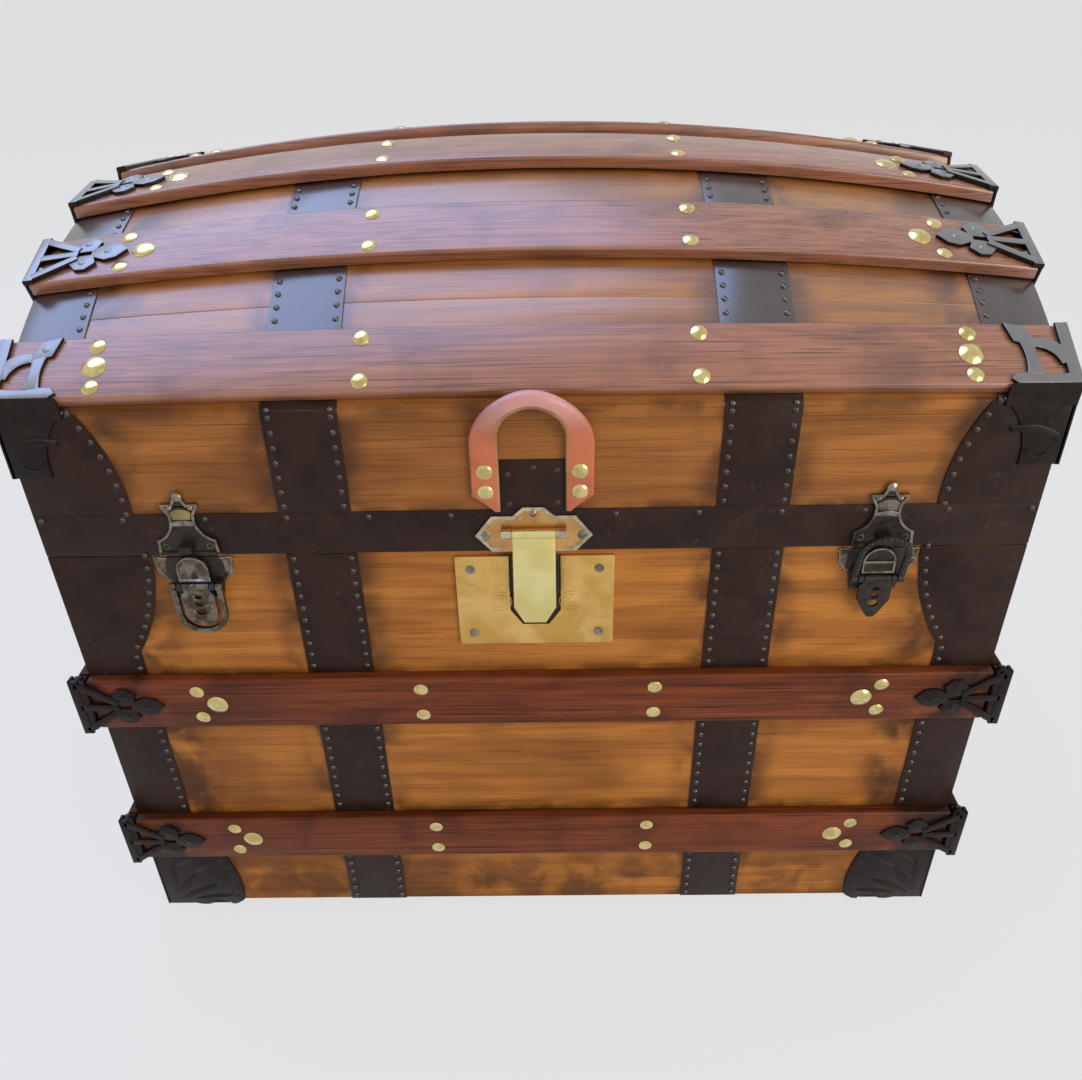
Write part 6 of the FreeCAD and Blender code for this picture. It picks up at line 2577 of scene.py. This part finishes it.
@dataclass
class Catches:
    """Crowned catches on the valance, with a nickelled rim round a dark sunk face."""

    shape: Shape
    middles: Point = (-LATCH_REACH, LATCH_REACH)
    level: float = 423.6
    thickness: float = 2.5
    rim: float = 2.0
    sink: float = 1.1
    half_outline: tuple[Corner, ...] = (
        (23.5, 0.0), (22.5, 13.5, -3.0), (9.8, 29.7), (9.8, 35.1),
        (13.8, 42.6), (14.2, 45.4), (6.0, 45.0), (3.4, 50.0),
    )
    sill: tuple[Point, ...] = ((-23.3, 0.1), (23.3, 0.1), (23.0, 3.0), (-23.0, 3.0))
    sill_height: float = 0.15
    fine_rounding: float = 0.3
    knob: Stud = Stud(4.0, 2.6, 0.8, sides=20)
    knob_level: float = 51.0
    stud: Stud = Stud(2.3, 1.7, 0.5)
    studs: tuple[Point, ...] = ((8.2, 41.5), (-8.2, 41.5))
    shoulder_studs: tuple[Point, ...] = ((17.0, 8.0), (-17.0, 8.0))
    shoulder_ring: Triple = (2.4, 0.9, 0.7)
    ring_sides: int = 16
    collar_size: Point = (1.6, 0.5)
    patch_height: float = 0.9
    seat_sink: float = 0.1
    collar: tuple[Corner, ...] = ((-9.4, 26.5), (9.4, 26.5), (9.4, 29.5, 2.0), (-9.4, 29.5))
    patch: tuple[Corner, ...] = ((-6.5, 31.5), (6.5, 31.5), (8.0, 38.0, 3.0), (-8.0, 38.0))
    lug: tuple[Point, ...] = ((-5.0, 5.6), (5.0, 5.6), (5.0, 11.6), (-5.0, 11.6))
    lug_reach: float = 11.6
    lug_rounding: float = 1.4

    def build(self) -> None:
        """Make both catches as one piece."""
        right = outline(self.half_outline, closed=False)
        points = [*right, *((-u, v) for u, v in reversed(right))]
        blank = Blank()
        for middle in self.middles:
            face = self.shape.broad_walls[0].place(self.shape.sheet)
            face = moved(face, middle, self.level)
            blank.panel(points, self.thickness, self.rim, self.sink, face)
            sunk = moved(face, 0.0, 0.0, self.thickness - self.sink - self.seat_sink)
            blank.stud(self.knob, moved(sunk, 0.0, self.knob_level))
            blank.cast(outline(self.collar), *self.collar_size, sunk)
            dark = Blank()
            # The lug takes the near-black finish: painted shade, so that it reads as a dark hollow
            dark.cast(self.lug, self.lug_reach - self.thickness, self.lug_rounding, sunk)
            dark.cast(self.sill, self.thickness + self.sill_height, self.fine_rounding, face)
            blank.join(dark, 1)
            for u, v in self.studs:
                blank.stud(self.stud, moved(sunk, u, v))
            for u, v in self.shoulder_studs:
                blank.lathe(ring_profile(*self.shoulder_ring), self.ring_sides, moved(sunk, u, v))
            patch = Blank()
            patch.cast(outline(self.patch), self.patch_height, self.fine_rounding)
            on_left = middle < 0.0
            blank.join(patch, 2 if on_left else 0, sunk)
        blank.release(
            "latch_catch_plates",
            WORN_NICKEL,
            Body.LID,
            ["latch_catches"],
            also=[GRIME_AND_SHADE_STEEL, DULL_BRASS],
        )


def dress_strap(blank: Blank, node: str, body: Body) -> None:
    """Release a leather strap in place of a node."""
    blank.release(f"{node}_strap", TAN_LEATHER, body, [node], crease=60.0, also=[CUT_LEATHER])


@dataclass
class LidHandle:
    """Leather horseshoe on the lid's front, flat at its feet and rolled in its arch, with four tacks."""

    shape: Shape
    half_span: float = 35.0
    foot: float = 459.4
    leg: float = 55.0
    arch_rise: float = 41.5
    leg_size: Point = (21.0, 5.0)
    arch_size: Point = (13.0, 10.5)
    seat: float = 0.1
    stand_off: float = 12.38
    slant: float = 14.0
    tip_share: float = 0.25
    slant_power: float = 0.7
    edge_share: float = 0.2
    stations: int = 69
    section_points: int = 20
    squareness: Point = (0.35, 0.75)
    tack: Stud = Stud(6.0, 2.1, 0.3, 5, 20)
    tack_levels: Point = (476.3, 493.3)
    plate_half: float = 24.0
    plate_high: float = 501.0
    plate_rounding: float = 0.4
    plate_nail: Stud = Stud(2.2, 1.0, sides=10)
    nail_sink: float = 0.1
    plate_nails: tuple[Point, ...] = ((-18.0, 5.0), (18.5, 5.5), (-18.5, 30.0), (18.0, 33.0), (0.5, 35.5))

    @property
    def arch_length(self) -> float:
        """Length of the oval arch over the legs."""
        return math.pi * (self.half_span + self.arch_rise) / 2

    def ring(self, travel: float) -> list[Vector]:
        """Section of the strap at a distance along the horseshoe from its right foot.

        Args:
            travel: distance along the middle line.

        Returns:
            Points of the section.
        """
        whole = 2 * self.leg + self.arch_length
        side = 1 if travel <= whole / 2 else -1
        climb = travel if side > 0 else whole - travel
        turn = max(0.0, math.pi * (climb - self.leg) / self.arch_length)
        reach, rise = side * math.cos(turn), math.sin(turn)
        middle = Vector((reach * self.half_span, self.foot + self.leg + rise * self.arch_rise))
        across = Vector((reach * self.arch_rise, rise * self.half_span)).normalized()
        ease = rise * rise * (3 - 2 * rise)
        width = self.leg_size[0] + (self.arch_size[0] - self.leg_size[0]) * ease
        thick = self.leg_size[1] + (self.arch_size[1] - self.leg_size[1]) * ease
        power = self.squareness[0] + (self.squareness[1] - self.squareness[0]) * ease
        lift = self.seat + (self.stand_off - self.seat) * ease + thick / 2
        drop = max(0.0, self.leg - climb)
        front = -self.shape.dome.half_depth
        points = []
        for u, v in soft_square(self.section_points, power):
            spot = middle + across * (u * width / 2)
            outward = max(0.0, ((u + 1) / 2 - self.tip_share) / (1 - self.tip_share))
            cut = self.slant * outward ** self.slant_power * drop / self.leg
            points.append(Vector((spot.x, front - lift - v * thick / 2, spot.y - drop + cut)))
        return points

    def build(self) -> None:
        """Make the strap, its tacks and the plate behind it."""
        whole = 2 * self.leg + self.arch_length
        blank = Blank()
        blank.loft([self.ring(whole * index / (self.stations - 1)) for index in range(self.stations)])
        blank.face_out()
        blank.tone_where(1, self.looks_inward)
        dress_strap(blank, "lid_handle", Body.LID)
        wall = self.shape.broad_walls[0]
        seat = wall.place(self.seat + self.leg_size[1])
        tacks = Blank()
        for sign in SIDES:
            for level in self.tack_levels:
                tacks.stud(self.tack, moved(seat, self.half_span * sign, level))
        node = "lid_handle_tacks"
        tacks.release("lid_handle_tack_heads", NAIL_BRASS, Body.LID, [node], crease=50.0)
        self.backing(wall)

    def looks_inward(self, face: bmesh.types.BMFace) -> bool:
        """Whether a face is on the strap's inner edge.

        Args:
            face: face of the strap.

        Returns:
            True where it looks towards the middle of the horseshoe.
        """
        away = face.calc_center_median() - Vector((0.0, 0.0, self.foot + self.leg))
        inward = Vector((-away.x, 0.0, -max(0.0, away.z))).normalized()
        return face.normal.dot(inward) > self.edge_share

    def backing(self, wall: Wall) -> None:
        """Iron plate between the legs, nailed at its corners and at the top.

        Args:
            wall: the front.
        """
        half, low = self.plate_half, self.shape.valance_top
        points = rectangle((-half, low), (half, self.plate_high))
        blank = Blank()
        blank.cast(points, self.shape.sheet, self.plate_rounding, wall.place())
        heads = Blank()
        for u, v in self.plate_nails:
            heads.stud(self.plate_nail, moved(wall.place(self.shape.sheet), u, low + v, -self.nail_sink))
        blank.join(heads, 1)
        blank.release(
            "lid_centre_sheet", JAPANNED_IRON, Body.LID, ["lid_centre_plate"], also=[RIVET_IRON]
        )


@dataclass
class EndHandles:
    """Leather strap handles on both ends, each held by two cast loops."""

    shape: Shape
    half_span: float = 80.0
    bow: float = 24.0
    foot: float = 6.0
    level: float = 338.0
    width: float = 28.0
    thickness: float = 5.8
    stations: int = 25
    section_points: int = 20
    squareness: float = 0.4
    thinning: float = 0.35
    edge_share: float = 0.8
    cap_gap: float = 0.15
    cap_length: float = 30.0
    cap_half_height: float = 19.0
    cap_depth: float = 13.0
    cap_corner: float = 4.0
    flange_size: Point = (3.0, 1.0)
    hood_inset: Triple = (1.0, 2.0, 2.0)
    hood_rounding: float = 3.6
    rivet: Stud = Stud(3.2, 1.2)
    rivet_sink: float = 1.3

    def build(self) -> None:
        """Make straps and loops."""
        caps = Blank()
        for wall, side in zip(self.shape.end_walls, Side):
            self.strap(wall, f"{side.value}_end_handle")
            self.loops(caps, wall)
        caps.release("end_handle_castings", CAST_IRON, Body.TRUNK, ["end_handle_caps"])

    def strap(self, wall: Wall, name: str) -> None:
        """Bowed strap on one end.

        Args:
            wall: the end.
            name: node of the frame that it replaces.
        """
        place = wall.place()
        radius = (self.half_span ** 2 + self.bow ** 2) / (2 * self.bow)
        sweep = math.asin(self.half_span / radius)
        hub = self.foot + self.bow - radius
        rings = []
        for station in range(self.stations):
            turn = sweep * (2 * station / (self.stations - 1) - 1)
            ring = []
            for u, v in soft_square(self.section_points, self.squareness):
                away = radius + v * self.thickness / 2 * (1 - self.thinning * u * u)
                spot = (away * math.sin(turn), self.level + u * self.width / 2, hub + away * math.cos(turn))
                ring.append(place @ Vector(spot))
            rings.append(ring)
        blank = Blank()
        blank.loft(rings)
        blank.face_out()
        blank.tone_where(1, lambda face: abs(face.normal.z) > self.edge_share)
        dress_strap(blank, name, Body.TRUNK)

    def loops(self, blank: Blank, wall: Wall) -> None:
        """Two cast loops on one end: a flange, a rounded hood and two rivets each.

        Args:
            blank: piece that gets them.
            wall: the end.
        """
        tall, half, cut = self.cap_half_height, self.cap_length / 2, self.cap_corner
        low = [(-half, cut - tall), (cut - half, -tall), (half - cut, -tall), (half, cut - tall)]
        flange = low + [(u, -v) for u, v in reversed(low)]
        along_u, along_v, base = self.hood_inset
        for sign in SIDES:
            place = moved(wall.place(), sign * (self.half_span + self.cap_gap + half), self.level)
            blank.cast(flange, *self.flange_size, place)
            corner = (half - along_u, tall - along_v, self.cap_depth)
            hood = blank.block((along_u - half, along_v - tall, base), corner)
            bmesh.ops.transform(blank.mesh, matrix=place, verts=hood)
            blank.soften(self.hood_rounding, 4, hood)
            for v in (-tall / 2, tall / 2):
                blank.stud(self.rivet, moved(place, 0.0, v, self.cap_depth - self.rivet_sink))


@dataclass
class Hinges:
    """Strap hinges on the back, with screws in their leaves whose slots are near-black bars of painted
    shade.
    """

    shape: Shape
    reach: float = 245.25
    leaf_thickness: float = 2.2
    columns: tuple[float, ...] = (-20.0, 0.0, 20.0)
    body_rows: tuple[float, ...] = (384.0, 404.0)
    lid_rows: tuple[float, ...] = (440.0, 460.0)
    screw: Stud = Stud(3.6, 1.1, 0.3, sides=16)
    slot_ends: tuple[Point, Point] = ((-3.0, -1.0), (3.0, 1.0))
    slot_widths: Point = (0.8, 0.8)
    slot_size: Point = (1.2, 0.1)

    def build(self) -> None:
        """Dress the leaves and drive the screws."""
        for name in ("hinge_body_leaves", "hinge_lid_leaves", "hinge_pins"):
            dress_node(name, AGED_STEEL)
        place = self.shape.broad_walls[1].place(self.leaf_thickness - HEAD_SINK)
        for body, rows in ((Body.TRUNK, self.body_rows), (Body.LID, self.lid_rows)):
            blank = Blank()
            for sign in SIDES:
                for column in self.columns:
                    for row in rows:
                        spot = moved(place, self.reach * sign + column, row)
                        blank.stud(self.screw, spot)
                        # The slot is not cut: a near-black bar paints its shade
                        slot = Blank()
                        slot.cast(bar_outline(*self.slot_ends, self.slot_widths), *self.slot_size)
                        blank.join(slot, 1, spot)
            blank.release(f"{body.value}_hinge_screws", AGED_STEEL, body, also=[GRIME_AND_SHADE_STEEL])


LEFT_NOSE: tuple[Corner, ...] = ((-12.8, -6.0), (-12.8, -24.0, 12.8), (12.8, -24.0), (12.8, -6.0))
RIGHT_NOSE: tuple[Corner, ...] = (
    (-12.8, -6.0), (-12.8, -20.0), (-6.0, -32.0), (-2.5, -36.8),
    (2.5, -36.8), (6.0, -32.0), (12.8, -20.0), (12.8, -6.0),
)


@dataclass
class Fittings:
    """Pieces out of sight, whose shape in the frame is right."""

    finishes: dict[str, Finish]

    def build(self) -> None:
        """Dress each of them."""
        for name, finish in self.finishes.items():
            dress_node(name, finish)


@dataclass
class Studio:
    """Pale floor, soft lights and the camera."""

    backdrop: str = "#E8E8E8"
    glow_share: float = 0.86
    world_light: float = 0.45
    shown_light: float = 0.55
    floor_radius: float = 60.0
    lens: float = 31.604
    eye: Triple = (0.01439, -0.89188, 0.82164)
    pitch: float = 32.32
    yaw: float = -0.84
    roll: float = -1.22

    def build(self) -> None:
        """Set up floor, world, lights and camera."""
        self.floor()
        self.world()
        self.lamp("sky_panel", (-0.95, 0.5, 2.9), (-0.2, 0.0, 0.5), size=3.0, power=72.0, colour="#A2BEFF")
        self.lamp("front_fill", (2.2, -2.1, 1.4), (0.0, 0.0, 0.3), size=2.2, power=50.0, colour="#FFF6EA")
        self.camera()

    def lamp(
        self,
        name: str,
        spot: Triple,
        target: Triple,
        size: float,
        power: float,
        colour: str,
    ) -> None:
        """Add a round soft light that faces a target.

        Args:
            name: the light's name.
            spot: where it hangs, in metres.
            target: what it faces.
            size: its diameter.
            power: watts.
            colour: sRGB hex.
        """
        data = bpy.data.lights.new(name, "AREA")
        data.shape = "DISK"
        data.size = size
        data.energy = power
        data.color = linear(colour)[:3]
        light = bpy.data.objects.new(name, data)
        aim = (Vector(target) - Vector(spot)).to_track_quat("-Z", "Y")
        light.matrix_world = Matrix.Translation(spot) @ aim.to_matrix().to_4x4()
        bpy.context.scene.collection.objects.link(light)

    def shown(self, tree: Tree) -> Socket:
        """Share of the backdrop's light that shows.

        Args:
            tree: node tree of the floor or the world.

        Returns:
            Socket that is 1 for rays from the camera, from a mirror or through glass.
        """
        path = add_node(tree, "ShaderNodeLightPath").outputs
        value = path["Is Camera Ray"]
        for ray in ("Is Glossy Ray", "Is Transmission Ray"):
            either = add_node(tree, "ShaderNodeMath", {0: value, 1: path[ray]}, operation="MAXIMUM")
            value = either.outputs[0]
        return value

    def floor(self) -> None:
        """Wide pale floor that shows as the backdrop and keeps a soft shadow."""
        mesh = bmesh.new()
        bmesh.ops.create_circle(mesh, cap_ends=True, segments=64, radius=self.floor_radius)
        data = bpy.data.meshes.new("floor")
        mesh.to_mesh(data)
        mesh.free()
        material = bpy.data.materials.new("paper_sweep")
        material.use_nodes = True
        tree = material.node_tree
        tree.nodes.clear()
        plain = add_node(tree, "ShaderNodeBsdfDiffuse", {"Color": linear(self.backdrop)})
        glow = add_node(tree, "ShaderNodeEmission", {"Color": linear(self.backdrop), "Strength": 1.0})
        sockets = {0: self.shown(tree), 1: self.glow_share}
        share = add_node(tree, "ShaderNodeMath", sockets, operation="MULTIPLY")
        mixed = add_node(
            tree, "ShaderNodeMixShader", {0: share.outputs[0], 1: plain.outputs[0], 2: glow.outputs[0]}
        )
        add_node(tree, "ShaderNodeOutputMaterial", {"Surface": mixed.outputs[0]})
        data.materials.append(material)
        floor = bpy.data.objects.new("floor", data)
        bpy.context.scene.collection.objects.link(floor)

    def world(self) -> None:
        """Even pale light from all round."""
        world = bpy.data.worlds.new("studio")
        bpy.context.scene.world = world
        world.use_nodes = True
        tree = world.node_tree
        tree.nodes.clear()
        sockets = {0: self.shown(tree), 1: self.shown_light, 2: self.world_light}
        strength = add_node(tree, "ShaderNodeMath", sockets, operation="MULTIPLY_ADD").outputs[0]
        sockets = {"Color": linear(self.backdrop), "Strength": strength}
        light = add_node(tree, "ShaderNodeBackground", sockets)
        add_node(tree, "ShaderNodeOutputWorld", {"Surface": light.outputs[0]})

    def camera(self) -> None:
        """Camera at the photograph's viewing angle."""
        pitch, yaw, roll = (math.radians(angle) for angle in (self.pitch, self.yaw, self.roll))
        ahead = Vector((math.sin(yaw) * math.cos(pitch), math.cos(yaw) * math.cos(pitch), -math.sin(pitch)))
        level = Vector((math.cos(yaw), -math.sin(yaw), 0.0))
        above = level.cross(ahead)
        across = level * math.cos(roll) + above * math.sin(roll)
        upward = above * math.cos(roll) - level * math.sin(roll)
        data = bpy.data.cameras.new("camera")
        data.sensor_fit = "HORIZONTAL"
        data.sensor_width = 36.0
        data.lens = self.lens
        camera = bpy.data.objects.new("camera", data)
        camera.matrix_world = stand(across, upward, -ahead, Vector(self.eye))
        bpy.context.scene.collection.objects.link(camera)
        bpy.context.scene.camera = camera


CARRIED_FINISHES: dict[str, Finish] = {
    "hasp_pin": PALE_BRASS,
    "lock_case": AGED_STEEL,
    "lock_bolt": AGED_STEEL,
    "latch_pins": AGED_STEEL,
}


def main() -> None:
    """Build the trunk's looks in order."""
    logging.basicConfig(level=logging.INFO, format="%(message)s")
    bpy.context.scene.view_settings.view_transform = "Standard"
    shape = Shape(Dome.of_frame())
    Studio().build()
    for assembly in (
        Boards(shape),
        Slats(shape),
        SheetIron(shape),
        Nails(shape),
        SlatClamps(shape),
        EdgeCaps(shape),
        FootCaps(shape),
        HaspLock(shape),
        Latch(shape, Side.LEFT, -LATCH_REACH, Body.LEFT_LEVER, Body.LEFT_LOOP, 0.0, LEFT_NOSE, False),
        Latch(shape, Side.RIGHT, LATCH_REACH, Body.RIGHT_LEVER, Body.RIGHT_LOOP, 168.0, RIGHT_NOSE, True),
        Catches(shape),
        LidHandle(shape),
        EndHandles(shape),
        Hinges(shape),
        Fittings(CARRIED_FINISHES),
    ):
        assembly.build()


if __name__ == "__main__":
    main()
